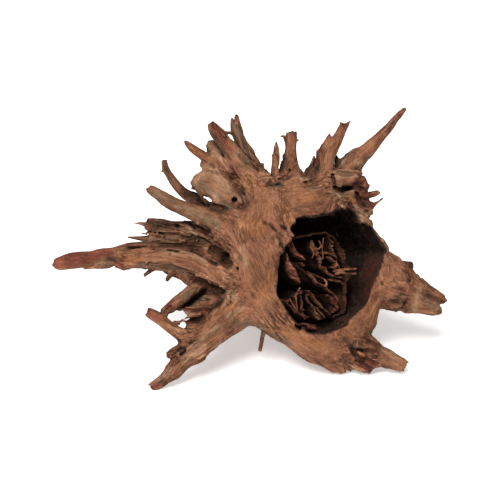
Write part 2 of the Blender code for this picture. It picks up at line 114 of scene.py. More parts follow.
# Roots, each from its broken tip to its base inside the trunk.
ROOTS = {
    "long_core": [(-196, -13.5, -4, 4.6), (-190, -13.7, -4, 6.6), (-180, -11.5, -4, 8.2),
                  (-170, -10.2, -4, 8), (-160, -7.7, -4, 6.5), (-150, -4.5, -4, 5.6),
                  (-141, -2.4, -4, 4.8), (-124, -3, -4, 5)],
    "long_root": [(-132, -7.5, -2, 9), (-127, -9, -2, 10.2), (-116, -9, -2, 10.2), (-90, -9.5, -1, 10.6),
                  (-60, -16, 3, 12), (-37, -25, 9, 13), (-18, -38, 14, 18), (12, -46, 20, 27)],
    "bark_flake": [(-166, -18.6, -3, 1.2), (-157, -16.6, -2, 2.4), (-149, -15, -2, 4),
                   (-142, -14.5, -1, 4), (-133, -10.5, -2, 3.6), (-124, -11, -2, 5)],
    "under_flake": [(-156, -13.5, 1, 1.2), (-149, -11.5, 1, 1.8), (-142, -8.5, 1, 2.2),
                    (-134, -7, 0, 3.4)],
    "bark_strand": [(-137, 1, -7, 1.5), (-118, 5, -7, 3.5), (-90, 4, -7, 5.5), (-60, 0, -5, 6.5),
                    (-34, -6, -1, 8), (-8, -14, 10, 17), (16, -22, 16, 26)],
    "upper_log": [(-104, 26, -12, 4), (-100, 25.5, -12, 7), (-82, 21, -12, 9), (-60, 18.5, -12, 10),
                  (-37, 11, -7, 11), (-13, 2, 4, 18), (16, -6, 16, 28)],
    "upper_splinter": [(-120.5, 25.5, -12, 0.9), (-112, 27, -12, 1.8), (-103, 25, -12, 3),
                       (-92, 22, -12, 4)],
    "curled_strand": [(-123.5, 13, -10, 1.2), (-114, 12, -10, 2.4), (-95, 11, -9, 4), (-65, 8, -8, 6),
                      (-36, 3, -6, 8)],
    "grey_root": [(-102, 62, -2, 4.4), (-99, 60, -2, 5), (-93, 56.5, 0, 5.6), (-80, 48.5, 3, 7),
                  (-64, 40, 6, 8), (-45, 33, 10, 9.5), (-25, 24, 14, 14), (-2, 14, 18, 23),
                  (22, 6, 22, 30)],
    "dark_root": [(-86, 90, -30, 3.2), (-84, 80, -30, 3.8), (-77, 69.5, -30, 4.2),
                  (-68, 58, -28, 5.5), (-55, 51, -26, 7), (-38, 40, -22, 8.5), (-12, 26, -14, 12)],
    "dark_prong": [(-89.6, 77.6, -30, 0.9), (-85, 79.6, -30, 2)],
    "orange_root": [(-65, 109.5, -8, 1.6), (-61, 104.5, -8, 3.6), (-54, 99, -8, 4.8), (-46, 93.5, -8, 5.2),
                    (-36, 86, -8, 6), (-18, 70, -6, 10)],
    "blade_root": [(-39.5, 127, 6, 3.2), (-37, 122, 6, 5.6), (-31, 114, 6, 7), (-22, 103, 6, 7.4),
                   (-15, 94, 6, 8.5), (-4, 81, 8, 10), (8, 66, 12, 14), (20, 46, 16, 19), (28, 32, 18, 22)],
    "forked_root": [(-15, 128, -14, 4.4), (-13.5, 121, -13, 5), (-11, 113, -12, 5.6), (-7, 104, -12, 6),
                    (-3, 96, -11, 6.8), (1, 87, -9, 7.5), (9, 70, -4, 12)],
    "fork_left": [(-18.6, 133, -14, 1.6), (-17.4, 128, -14, 2.6), (-15.5, 118, -13, 4)],
    "fork_right": [(-13.8, 135.5, -13, 1.7), (-12.8, 128, -13, 3), (-11, 118, -12, 4)],
    "root_bridge": [(-30, 119, 4, 2.2), (-24, 117.6, -4, 1.5), (-19, 117, -10, 1.7), (-14, 114, -12, 3)],
    "knob_a": [(-41.5, 103.5, -16, 5.6), (-35, 101.5, -16, 8.4), (-28, 88, -13, 12), (-22, 72, -10, 14)],
    "knob_b": [(-49, 87, -14, 3.4), (-41, 82, -14, 5.4), (-26, 70, -12, 12)],
    "knob_c": [(-58, 63.5, -18, 3), (-50, 67.5, -18, 9.4), (-38, 63, -14, 14), (-20, 54, -8, 16)],
    "twig_a": [(13.5, 87.5, -4, 1.6), (12.5, 83, -4, 2.6), (12, 76, -2, 4), (17, 67, 4, 5)],
    "dark_lump": [(8, 84.5, -10, 2.8), (7.5, 78, -8, 4.4), (9, 70, -4, 7)],
    "thin_spike": [(26.2, 107.6, -6, 1), (26, 102, -6, 2.6), (26, 92, -5, 3.9), (25.4, 80, -3, 5),
                   (26, 70, 0, 8)],
    "spike_twig": [(20.6, 95.6, -6, 0.8), (23, 94, -6, 1.2), (26, 92, -6, 1.6)],
    "spike_web": [(34, 95, -14, 1.4), (33, 89, -13, 2.6), (32, 79, -10, 3.6), (32, 68, -4, 7)],
    "stub_root": [(41.5, 117, -12, 5.4), (41.3, 112, -12, 5.6), (41, 100, -11, 5.8), (41, 88, -9, 7),
                  (41.5, 76, -5, 10.5), (46, 62, 2, 15), (48, 46, 12, 18)],
    "stub_twig": [(49, 109.6, -11, 0.9), (45, 110, -11, 1.6)],
    "stub_shred": [(29.8, 114, -10, 0.9), (33.5, 113.6, -11, 2), (36, 111, -12, 2.6), (37, 105, -12, 2)],
    "short_blade": [(63.5, 94, -12, 1.6), (63, 88, -11, 3.2), (62, 80, -8, 6), (60, 68, -4, 10)],
    "blade_web": [(67.5, 99.5, -13, 1.6), (70, 94, -13, 3.6), (71, 84, -12, 5), (72, 70, -6, 9)],
    "split_root": [(94.6, 125.5, -14, 3.8), (92, 121, -14, 4.6), (88, 112, -13, 5.4),
                   (82, 103, -11, 7), (77.6, 93, -8, 7.6), (76.8, 84, -5, 7.2), (76.6, 74, 0, 8),
                   (78, 60, 2, 15), (78, 46, 8, 18)],
    "split_tip_a": [(90.6, 128, -14, 0.9), (91.2, 124, -14, 1.7), (90, 119, -14, 3)],
    "split_tip_b": [(99.6, 128.6, -14, 1), (97, 125, -14, 1.9), (94, 121, -14, 3)],
    "split_prong": [(80, 116.4, -12, 1.4), (78.5, 112, -12, 2.4), (75, 103, -12, 4), (73, 92, -11, 5)],
    "spear_root": [(154.5, 141, -30, 2.2), (151, 137, -30, 3.2), (142, 127, -30, 4.4),
                   (134, 118, -29, 5.4), (125, 107.7, -28, 6.6), (116, 98.5, -26, 7.8),
                   (107, 90.5, -23, 10), (98, 78, -18, 13), (92, 66, -14, 16)],
    "spear_thorn": [(86, 94.8, -18, 1), (87, 89, -18, 3), (92, 80, -16, 7)],
    "spear_edge": [(102.5, 99, -22, 1.6), (98, 94, -21, 3), (92, 86, -18, 6)],
    "cup_knot": [(85.5, 73, 0, 5), (92, 72, 4, 8.4), (99, 72, 5, 8.6), (105, 73, 2, 6)],
    "cup_rim": [(82.6, 78.6, 5, 1.1), (90, 80, 8, 1.2), (100, 80, 8, 1.2), (107, 79, 5, 1.3),
                (111.5, 76.5, 0, 1.6)],
    "red_finger_a": [(128.5, 58, 2, 2.6), (124.5, 56, 3, 3.4), (117, 54.5, 4, 3.8), (104, 52, 2, 5)],
    "red_finger_b": [(123.5, 46, 2, 3), (117, 46, 3, 3.8), (108, 46, 2, 4), (98, 48, 0, 6)],
    "red_finger_c": [(120, 51.5, 4, 2.2), (114, 50.5, 5, 3), (106, 51, 3, 3.6)],
    "red_knot": [(112, 73, 0, 3.4), (113, 67, 2, 4.4), (110, 60, 2, 4.4), (104, 55, 0, 6)],
    "red_lump": [(117, 63, 0, 3), (112, 60, 1, 4), (104, 56, 0, 5)],
    "pale_spur": [(134.5, 53, -4, 0.9), (131, 50.6, -3, 1.8), (126, 47, -2, 2), (120, 42, -2, 3.4),
                  (114, 36, -2, 4)],
    "rim_tongue": [(113.5, 29.5, 0, 5.4), (115, 35, 0, 6.4), (115, 43, -2, 7.6), (108, 50, -4, 9)],
    "right_root": [(189, -55, -18, 9.5), (183, -54.5, -17, 11.5), (172, -51, -14, 13.2),
                   (160, -46, -10, 16), (150, -38, -8, 21.5), (140, -34, -6, 25.5), (120, -26, -8, 28)],
    "right_lobe": [(194, -50, -17, 4.6), (188, -47.5, -16, 6), (178, -43, -13, 8), (164, -36, -9, 11)],
    "right_knob": [(160.5, -16.5, -8, 5.6), (155, -17, -7, 6.4), (142, -19, -6, 9)],
    "low_root": [(155, -116, 16, 5.6), (150, -114, 17, 7.6), (141, -110.5, 18, 9.2), (128, -105, 18, 12),
                 (110, -95, 16, 17), (92, -82, 18, 22)],
    "right_foot": [(97, -116, 7, 8.5), (91, -112, 9, 12.8), (84, -104, 17, 17.5), (66, -91, 24, 20),
                   (44, -73, 28, 22), (26, -50, 26, 24)],
    "broken_root": [(123, -118, 18, 5.8), (117, -115.5, 19, 7.4), (108, -110, 16, 10), (98, -98, 14, 14)],
    "tiny_twig": [(102.2, -122, 10, 1), (98, -119, 10, 1.4), (92, -114, 12, 3)],
    "belly_stub": [(31.5, -91.5, 16, 1.6), (28.5, -88, 16, 1.8), (25, -80, 16, 4)],
    "twig_b": [(9.5, -100.5, 18, 2.2), (11.5, -92, 17, 2.2), (13, -84, 16, 2.4), (18, -68, 14, 5)],
    "left_foot": [(-98, -137, 46, 4.4), (-93, -134, 46, 5.4), (-82, -126, 46, 7.2), (-66, -108, 44, 10.5),
                  (-46, -89, 38, 14.5), (-22, -67, 28, 18.5), (5, -46, 20, 24), (30, -35, 10, 30)],
    "foot_stub": [(-84, -105.5, 50, 2.2), (-77, -103.5, 49, 5.6), (-60, -98, 43, 10.5)],
    "cross_root": [(-101.5, -62, 44, 5), (-97, -64.5, 44, 5.6), (-89, -70, 44, 5.6), (-80, -77, 44, 6.2),
                   (-70, -84, 43, 7.4), (-56, -90, 40, 11)],
    "strut_root": [(-86, -64.5, 40, 4.4), (-78, -55.5, 33, 5.6), (-66, -46, 24, 6.4), (-54, -37, 12, 7.4),
                   (-40, -28, 4, 10)],
    "strut_edge": [(-89, -61, 39, 2), (-78, -52, 32, 2.6), (-66, -43, 24, 3), (-56, -36, 14, 4)],
    "web_root": [(-63, -61, 22, 3.4), (-52, -60, 20, 6), (-38, -57, 14, 10), (-14, -46, 8, 14)],
    "web_end": [(-66, -60, 30, 1.6), (-60, -61.5, 30, 2.6), (-48, -62.5, 30, 4), (-34, -64, 30, 6)],
    "web_bits": [(-70, -70.5, 36, 1), (-65, -68.5, 36, 1.4), (-58, -66.5, 35, 1.8), (-50, -64.5, 34, 3)],
    "web_plate": [(-64, -73, 32, 2.2), (-57, -71.5, 31, 4.6), (-47, -72, 28, 7), (-34, -72, 26, 10),
                  (-10, -60, 20, 14)],
    "web_strand": [(-65, -57.4, 33, 1.4), (-56, -58.6, 33, 1.8), (-46, -60, 33, 1.8), (-38, -60.6, 34, 1.8)],
    "web_fringe": [(-70, -58.4, 34, 1), (-65, -61, 33, 1.6), (-60, -65, 33, 2), (-54, -66, 32, 3)],
    "web_curl": [(-30, -64, 38, 1.4), (-25, -57, 40, 1.8), (-21, -51, 41, 1.8), (-21, -46, 41, 1.6),
                 (-25, -43, 38, 1.4)],
    "web_curl_b": [(-34, -50, 34, 1.2), (-29, -48, 37, 1.4), (-25, -49.5, 39, 1.4), (-24, -54, 39, 1.3)],
    "strut_back": [(-75, -59.5, 24, 2.4), (-67, -55, 16, 4.2), (-57, -48, 8, 6), (-46, -41, 2, 8)],
    "cross_top": [(-77, -72.5, 42, 2.4), (-70, -72.8, 41, 2.8), (-65, -71.6, 40, 2)],
    "web_back": [(-62, -56, 10, 3), (-54, -50, 8, 6), (-44, -45, 4, 8.5), (-34, -41, 2, 10)],
    "web_back_b": [(-62, -61, 18, 3), (-52, -59, 14, 6), (-40, -54, 10, 9)],
    "cross_plate": [(-66, -77.5, 37, 2.6), (-58, -79, 38, 5), (-46, -80, 36, 8)],
    "grey_plate": [(-63, -55.5, 17, 1.6), (-56, -53.5, 18, 3.4), (-48, -54, 19, 4), (-38, -56, 20, 4)],
    "grey_plate_b": [(-54, -48.5, 15, 1.4), (-48, -46.5, 15, 2.6), (-40, -48.5, 16, 3)],
    "brown_plate": [(-46, -42.5, 12, 2), (-39, -42, 12, 4), (-30, -45, 14, 5)],
    "under_plate": [(-86, -20, -4, 2.6), (-72, -24.5, -2, 5), (-58, -30, 2, 6.5), (-42, -36, 4, 9)],
    "peg_a": [(-106.2, -25.6, -4, 2.2), (-101, -22, -4, 2.4), (-91, -15, -3, 3.2)],
    "peg_b": [(-83, -30, 2, 1.8), (-80, -26, 2, 3), (-76, -20, 2, 5)],
    "back_foot": [(78, -58, -136, 6), (77, -57, -130, 8.5), (72, -52, -110, 11), (73, -42, -86, 16),
                  (64, -30, -54, 27)],
    "back_left": [(-24, 34, -130, 4.5), (-20, 31, -124, 7), (-13, 20, -108, 9), (-4, 17, -86, 13),
                  (16, 10, -50, 26)],
    "back_top": [(44, 69, -136, 4), (46, 66, -130, 6), (54, 57, -114, 8), (53, 46, -90, 13),
                 (54, 30, -56, 27)],
    "back_right": [(127, -14, -124, 4), (125, -12, -118, 6.5), (116, 0, -100, 9), (110, 6, -80, 14),
                   (92, 8, -46, 25)],
    "back_low": [(-5, -62, -122, 5), (-3, -61, -116, 7), (4, -57, -96, 9.5), (18, -44, -74, 14),
                 (32, -34, -44, 26)],
    "back_stub": [(64, -2, -120, 15), (64, -3, -112, 18), (60, -5, -92, 23), (60, -6, -60, 38)],
}

# Holes right through the wood: routes like the roots'.
HOLES = {
    "burl_window": [(-45.6, 52.4, 30, 2.3), (-45.6, 52.4, -50, 2.3)],
    "burl_window_b": [(-42.4, 51.2, 30, 2.4), (-42.4, 51.2, -50, 2.4)],
    "burl_window_c": [(-40, 48.8, 30, 2.2), (-40, 48.8, -50, 2.2)],
    "web_window": [(-79, -66, 60, 3.4), (-79, -66, 0, 3.4)],
    "web_window_b": [(-73, -64.6, 60, 4.6), (-73, -64.6, 0, 4.6)],
    "web_window_c": [(-68.6, -62.6, 60, 2.6), (-68.6, -62.6, 0, 2.6)],
    "web_window_d": [(-67.4, -73.6, 60, 1.7), (-67.4, -73.6, 0, 1.7)],
}

# Heartwood fins: the front edge of each, (across, up, out, thickness). They run back from it.
FINS = {
    "skin": [(46, 13, 30, 1.6), (57, 15, 27, 1.4), (67.5, 17, 24, 1.3), (80, 15, 20, 1.3), (88, 8.5, 16, 1.3),
             (92.5, -2.5, 12, 1.4), (97, -13.5, 10, 1.6), (101, -19, 9, 2.2)],
    "skin_low": [(99, -25, 10, 3), (96, -36, 10, 2), (96.6, -50, 10, 2), (94, -60, 10, 4), (84, -69, 12, 2)],
    "upper_fin": [(62.6, 11, 24, 1.4), (64.4, 4, 23.6, 2.2), (67, -2, 23, 2.4), (71, -9, 22, 2),
                  (73, -16, 21, 2), (78, -21.6, 19, 2.4), (84, -26, 17, 3), (92, -26, 14, 3)],
    "upper_web": [(80, 15, 19, 1.2), (83.4, 6, 17, 1.2), (83, -1, 17, 1.3), (88, -7.6, 15, 1.6),
                  (89, -14, 14, 2), (92, -19, 13, 2)],
    "cross_web": [(72, -3, 21, 1.2), (79, -4, 18, 1.4), (87, -7, 15, 1.3)],
    "low_web": [(79, -7, 19, 1.3), (86, -11.6, 15, 1.6), (87.6, -16.4, 14, 1.6), (83, -18, 16, 1.6)],
    "left_plate": [(42, 8, 37, 3), (46, 1, 36, 4.4), (50, -4, 35, 4.4), (54.6, -9, 34, 2)],
    "broad_plate": [(38, -3, 39, 3), (39, -11, 38, 6), (43, -20, 37, 8.4), (48, -27, 35, 8),
                    (52, -33, 33, 3)],
    "long_fin": [(50, -12, 34, 1.1), (58, -21, 31, 1.2), (66, -27, 28, 1.3), (74.5, -29, 24, 1.2)],
    "long_fin_b": [(58, -22, 30, 1.1), (68, -33, 26, 1.3), (76, -37, 22, 1.5), (83, -44, 19, 2.4),
                   (88, -50, 17, 4)],
    "middle_fin": [(79, -46, 20, 2), (84, -52, 18, 6), (88, -58, 15, 6), (83, -64, 15, 2)],
    "grey_fin": [(82, -30, 18, 2), (90, -31, 14, 3), (96, -36, 11, 2)],
    "strand": [(37, -52, 36, 1.2), (46, -46.4, 34, 1.1), (54.4, -41.6, 32, 1.3)],
    "low_strand": [(34, -50, 37, 1.4), (42, -56, 33, 1.4), (48, -63, 30, 1.8), (56, -69, 26, 1.6)],
    "fork": [(47.6, -48, 33, 1.1), (48.4, -56, 32, 1.2), (50, -60.6, 29, 1.4)],
    "other_fork": [(52, -47, 33, 1.1), (55.6, -54, 30, 1.2), (53.4, -62.6, 29, 1.4), (58, -67, 27, 1.6)],
    "low_edge": [(58.6, -40, 31, 1.2), (64, -45, 28, 1.3), (69, -53, 25, 1.4), (78, -63, 19, 1.8),
                 (82.6, -68, 15, 1.6)],
    "low_edge_b": [(59, -45, 30, 1.2), (61, -51.6, 28, 1.2), (69, -60.4, 24, 1.6), (75, -69, 19, 1.8)],
    "foot_edge": [(64, -57, 27, 1.1), (67.6, -63, 25, 1.6), (71, -70, 21, 1.8)],
    "red_boss": [(54, -75, 30, 3), (60, -76.6, 28, 7), (67, -77.6, 25, 6)],
}
# The broad fronts among them that are red, as strokes of (across, up, reach).
RED_PLATES = [
    [(43, 6, 4), (48, -2, 5), (54, -9, 3)], [(39, -10, 5), (45, -22, 7), (50, -30, 6)],
    [(82, -46, 4), (86, -54, 7), (86, -62, 4)], [(55, -76, 5), (62, -77, 6), (68, -78, 4)],
]
# Front edges that get the hollow's painted shade as well, so that they are no paler than the sheet behind
# them.
SHADED_FIN_EDGES = [
    [(44, 13, 4), (57, 15, 4), (67.5, 17, 4), (80, 15, 4), (88, 8.5, 4), (92.5, -2.5, 4), (97, -13.5, 4)],
    [(99, -25, 4), (96, -36, 4), (96.6, -50, 4), (94, -60, 4), (84, -69, 4)],
]
# Thin strings between the fins, drawn like roots.
STRINGS = [
    [(84, -21, 19, 1.5), (90, -20, 18, 1.4), (97, -19.3, 17, 1.3), (105.5, -18.8, 15, 1.1)],
    [(86, -24, 19, 1.5), (92, -22.6, 18, 1.3), (98, -23.6, 17, 1.2), (105.5, -23.6, 15, 1.1)],
    [(68.9, 9.4, 24, 0.8), (71, 4, 24, 0.9), (68.9, 1, 24, 0.8), (64, 1.6, 25, 0.9)],
    [(73.3, 12, 22, 0.8), (72.2, 0, 22, 0.8), (73.3, -8, 22, 0.8)],
    [(60, 3, 27, 0.8), (64, -2, 26, 0.9), (62, -8, 26, 0.8)],
    [(50, -38, 34, 1.0), (46, -46, 33, 0.9), (47.6, -62, 31, 0.8)],
    [(37, -36, 40, 1.1), (41, -39, 39, 1.2), (48, -38, 37, 0.8)],
    [(40, -50, 36, 0.9), (45, -58, 34, 0.9), (47.6, -62, 32, 0.8)],
    [(62, -79, 36, 0.7), (58, -80, 36, 0.7), (63.6, -83.4, 36, 0.7)],
    [(69, -55, 27, 0.8), (70.6, -58.6, 27, 1.4), (69, -62, 26, 0.8)],
    [(74, -29, 27, 0.9), (77, -33, 26, 1.2), (75, -37, 24, 0.9)],
    [(76, -30, 24, 0.8), (82, -33, 22, 1.0), (82, -37, 21, 0.8)],
]

# What lies on the wood as it is seen from the front is drawn as (across, up, ...) alone, and takes
# its depth from the surface there.
# Beds of loose bark strands: two guide lines, the number of strands and of furrows, and a radius.
STRAND_BEDS = [
    ([(-104, 27), (-88, 28), (-68, 26), (-46, 21), (-28, 14), (-16, 8)],
     [(-118, 10), (-96, 9), (-72, 8), (-52, 4), (-42, 2), (-34, 4)], 30, 22, 1.7),
    ([(-122, 6), (-100, 7), (-76, 6), (-56, 2), (-46, 0)],
     [(-134, -1), (-114, 1), (-88, 2), (-64, -1), (-50, -7)], 16, 12, 1.4),
    ([(-128, -4), (-96, 0), (-66, -4), (-40, -16)], [(-120, -17), (-92, -16), (-66, -22), (-44, -28)],
     5, 6, 1.2),
    ([(-24, 80), (-14, 70), (-4, 58), (0, 46)], [(-34, 78), (-26, 68), (-16, 56), (-8, 44)], 5, 7, 1.4),
    ([(-60, -93), (-42, -82), (-22, -70)], [(-92, -133), (-66, -110), (-38, -92)], 6, 9, 1.3),
    ([(16, -48), (22, -60), (36, -74), (50, -84)], [(28, -48), (36, -62), (46, -74), (54, -80)], 20, 16, 1.3),
    ([(106, -99), (118, -100), (128, -99)], [(104, -108), (116, -109), (130, -110)], 12, 10, 1.3),
    ([(106, 60), (112, 64), (114, 72)], [(104, 48), (112, 48), (122, 46)], 8, 8, 1.3),
    ([(-17, 130), (-12, 116), (-3, 98), (4, 84)], [(-12, 132), (-7, 118), (1, 100), (5, 90)], 3, 4, 1.1),
    ([(-33, 120), (-22, 108), (-8, 90), (4, 74)], [(-26, 118), (-14, 102), (0, 86), (10, 70)], 4, 6, 1.2),
    ([(-14, 30), (-8, 10), (-4, -10)], [(-20, 20), (-16, 4), (-10, -14)], 3, 4, 1.4),
    ([(96, 46), (106, 42), (112, 34)], [(98, 50), (112, 46), (120, 34)], 6, 6, 1.4),
]

# Pits, cracks and hollows: (across, up, depth of the middle, radius).
CARVINGS = {
    "side_hollow": [(-38, 0, 1, 4.5), (-31, -4, 5, 6.5), (-24, -8, 8, 7.5), (-20, -12, 5, 4.5)],
    "side_depth": [(-30, -4, 2, 4), (-25, -7, 12, 7), (-22, -9, 20, 7)],
    "side_streak": [(-16, -4, 0, 1.2), (-12.5, -9.5, 0.4, 1.6)],
    "side_dot": [(-12, -18, 0, 1.5), (-12, -18, 4, 1.5)],
    "side_dint": [(-13, -20, 0, 1), (-17, -24, 0.4, 1.6), (-20, -28, 0, 1)],
    "log_dot_a": [(-31, 15.4, 0, 1.2), (-31, 15.4, 4, 1.2)],
    "log_dot_b": [(-28, 11, 0, 1.5), (-28, 11, 4, 1.5)],
    "log_dot_c": [(-40, 19, 0, 1.4), (-40, 19, 4, 1.4)],
    "log_gap_a": [(-52, 25, 0.5, 1.6), (-47, 23, 1.5, 2.2), (-43, 20, 0.5, 1.4)],
    "log_gap_b": [(-50, 16, 0.5, 1.2), (-43, 13.6, 1.5, 1.8), (-36, 12, 0.5, 1.2)],
    "log_gap_c": [(-72, 24, 1, 2), (-71.5, 19, 1, 2)],
    "log_gap_d": [(-100, 8, 0, 1), (-88, 5, 1.5, 1.8), (-72, 4.4, 2, 2), (-58, 4, 1.5, 1.8),
                  (-48, 0, 1, 1.6)],
    "log_gap_e": [(-64, 28, 0.5, 1.4), (-58, 24.5, 1.5, 2), (-55, 22, 0.5, 1.4)],
    "sheath_crack": [(-112, -13, 0, 0.8), (-98, -12.6, 0.3, 1.2), (-78, -13.6, 0, 0.9)],
    "sheath_split": [(-60, -8, 0, 0.8), (-50, -13, 0.3, 1.2), (-42, -19, 0.3, 1.2), (-34, -24, 0, 0.9)],
    "sheath_split_b": [(-47, -22, 0, 0.8), (-38, -28, 0.3, 1.2), (-28, -31, 0, 0.9)],
    "sheath_step": [(-140, -6.6, 1, 1.8), (-134, -10, 1, 2.2), (-131, -15, 0, 2)],
    "arch": [(-62, -26, 0.5, 1.8), (-53, -29.5, 3, 2.8), (-44, -33.5, 6, 3.6), (-35, -37, 8, 4.4),
             (-28, -40.5, 6, 3.6), (-24.5, -43, 1, 2)],
    "strut_gap": [(-41, -38, 8, 3), (-50, -45, 6, 3), (-58, -51.5, 4, 2.4), (-64, -55.4, 1, 1.4)],
    "web_slot": [(-43, -60.5, 1, 1.4), (-37, -59, 4, 2.6), (-31, -54, 5, 2.8), (-27, -49.5, 2, 1.8)],
    "web_crack": [(-18.5, -47, 0, 1.2), (-18.5, -51, 0.5, 1.6), (-22.5, -55.5, 0.3, 1.3),
                  (-27, -61, 0.3, 1.2),
                  (-31, -65, 0, 0.9)],
    "plate_pit": [(-62, -71.5, 1, 2), (-54, -70.8, 3, 3), (-48, -70.4, 2, 2)],
    "cross_crack": [(-88, -69.4, 0, 0.9), (-82, -71, 0.3, 1.3), (-74, -72.5, 0, 1.2)],
    "cross_end": [(-66, -77, 0, 0.8), (-62.5, -81, 0.3, 1.2), (-63, -87, 0, 0.8)],
    "foot_slot": [(-64, -92, 0, 1), (-58.5, -92, 1.5, 1.7), (-52, -90.6, 0, 1)],
    "foot_pit": [(-70, -97.5, 0.3, 1.2), (-67, -100.5, 1.5, 2.6), (-64, -101.4, 3.5, 2),
                 (-69, -105, 0.6, 1.8)],
    "foot_crease": [(-79, -115, 0, 1), (-72, -112, 0.4, 1.4), (-63, -108, 0, 1)],
    "burl_hole": [(-15.5, 50.5, 0, 2.3), (-15.3, 50.4, 9, 2.3)],
    "burl_crack": [(-26, 60, 0, 0.8), (-21, 56, 0.2, 1.1), (-17, 52.5, 0.4, 1.2)],
    "burl_hook": [(-12.5, 46.5, 0, 0.9), (-9.5, 44, 0.4, 1.2), (-6, 43.6, 0.5, 1.4), (-2.5, 45.4, 0.5, 1.3),
                  (-1, 48.4, 0, 0.9)],
    "blade_shade": [(-46, 88, 0, 1), (-40, 84, 0.8, 1.5), (-35, 82.6, 0, 1)],
    "burl_edge": [(-20, 84, 0, 0.9), (-17, 77.5, 0.5, 1.4), (-18.4, 71, 0.5, 1.4), (-21, 69, 0, 0.9)],
    "knob_gap": [(-42, 79, 0, 0.9), (-34, 77, 0.5, 1.3), (-26, 76, 0, 0.9)],
    "dark_gap": [(-52, 50, 1, 1.8), (-44, 46, 3, 2.6), (-35, 42, 4, 3.2), (-29, 38.5, 2, 2.4)],
    "spike_spot": [(27, 95.4, 0, 1.4), (27, 93.6, 1, 1.5)],
    "spike_gap": [(31, 94, 1.5, 1.4), (31.4, 88, 2, 1.7), (30.2, 82, 2, 1.6), (30, 77, 1.5, 1.6)],
    "stub_dot": [(39.5, 79.4, 0, 1.5), (39.5, 79.4, 4, 1.5)],
    "ledge_hollow": [(20, 66, 0, 1.4), (24, 64.5, 1, 2.2), (31, 67, 0.6, 1.6), (40, 67.5, 0, 1)],
    "ledge_dip": [(13, 78, 0.5, 1.4), (16, 71, 1, 1.8), (18.6, 66.5, 0.6, 1.4)],
    "cup_side": [(82.4, 77, 1, 1.2), (83.4, 71, 2.5, 1.8), (84, 66, 3, 2)],
    "cup": [(88, 76.5, 1, 2.2), (95, 76, 2.5, 3), (103, 76, 1.5, 2.4)],
    "cup_hollow": [(83.5, 64, 3, 2.2), (87.5, 60.5, 6, 3.2), (93, 59.6, 8, 3.4), (99, 61.5, 6, 2.4),
                   (103, 62.4, 3, 1.6)],
    "knot_crack": [(69, 70, 0, 0.9), (75, 68.6, 0.8, 1.4), (80, 66, 1.2, 1.6), (83, 64, 1, 1.4)],
    "knot_slot": [(74, 74.4, 1, 1.3), (77.6, 75.6, 1, 1.2)],
    "knot_notch": [(77, 62, 0.4, 1.2), (81, 62.4, 0.8, 1.4)],
    "red_gap_a": [(105.5, 57, 2, 2), (107.4, 52.5, 3, 2.4), (108.6, 47, 2, 1.6)],
    "red_gap_b": [(109, 44.4, 2, 1.6), (113, 44, 2, 1.3)],
    "red_gap_c": [(104, 66, 1.5, 1.4), (108, 63.4, 2, 1.6), (113, 61, 1.5, 1.2)],
    "red_gap_d": [(113, 51.4, 2, 1.3), (120, 50.4, 2, 1.2)],
    "tongue_dints": [(111, 38, 0.3, 1.2), (113.6, 35.4, 0.5, 1.4), (112, 32.6, 0.3, 1)],
    "trunk_crack": [(13, 26.6, 0, 0.6), (20, 25, 0.6, 1.1), (25, 20.4, 0.8, 1.3), (29, 12.4, 0.8, 1.3),
                    (31.2, 5.5, 0.8, 1.3), (33.4, 1, 0.6, 1.2)],
    "trunk_nick": [(0, -40.4, 0, 0.9), (3, -44.6, 0.5, 1.5), (5.4, -48.4, 0, 0.9)],
    "trunk_dash_a": [(37, 38, 0, 1), (41, 38.2, 0, 1)],
    "trunk_dash_b": [(-27, 34.6, 0, 0.8), (-22, 31, 0.2, 1), (-16, 29, 0, 0.8)],
    "trunk_dash_c": [(2, 28.6, 0, 0.7), (7, 29.8, 0, 0.7)],
    "lobe_dint_a": [(131, -32, 0.2, 1.4), (132, -34.5, 0.4, 1.5)],
    "lobe_dint_b": [(137.4, -34, 0, 1.1), (138.6, -37, 0, 1.1)],
    "right_crack": [(160, -37.6, 0, 0.9), (168, -41, 0.8, 1.4), (178, -45.4, 1.2, 1.7), (188, -50, 1.4, 1.8),
                    (195, -53.6, 1.2, 1.8)],
    "right_hole": [(191, -54.4, 0, 1.4), (191, -54.4, 4, 1.4)],
    "right_fold": [(151, -58, 0.3, 1.4), (155, -52.4, 0.4, 1.4), (158, -47, 0, 1)],
    "low_crack": [(126, -98, 0, 1), (136, -104, 0.4, 1.3), (148, -110, 0, 1)],
    "foot_line": [(76, -106.6, 0, 0.8), (84, -107, 0.2, 1), (91, -109.4, 0, 0.8)],
    "foot_dash": [(75, -92, 0, 0.8), (78, -93.6, 0.2, 1.1), (84, -90.4, 0, 0.8)],
    "foot_dash_b": [(113, -88, 0, 0.9), (118.6, -90, 0, 1)],
    "broken_crevice": [(99, -94, 1, 1.8), (101.5, -98, 2.5, 2.4), (104.5, -103.5, 2.5, 2),
                       (109, -108.6, 1, 1.2)],
    "broken_hollow": [(104, -98.4, 2, 1.8), (112, -100.6, 3, 2.2), (119, -101.4, 2, 1.6)],
    "broken_under": [(106, -109.6, 1, 1.4), (116, -108.4, 2, 1.6), (126, -106, 1, 1.4)],
    "slope_gap_a": [(12, -50, 0, 0.9), (17, -57.6, 0.5, 1.3), (22, -66, 1, 1.6), (26, -72.4, 0, 1)],
    "slope_gap_b": [(22, -54, 0, 0.9), (28, -62, 0.5, 1.3), (35, -70, 0, 0.9)],
}

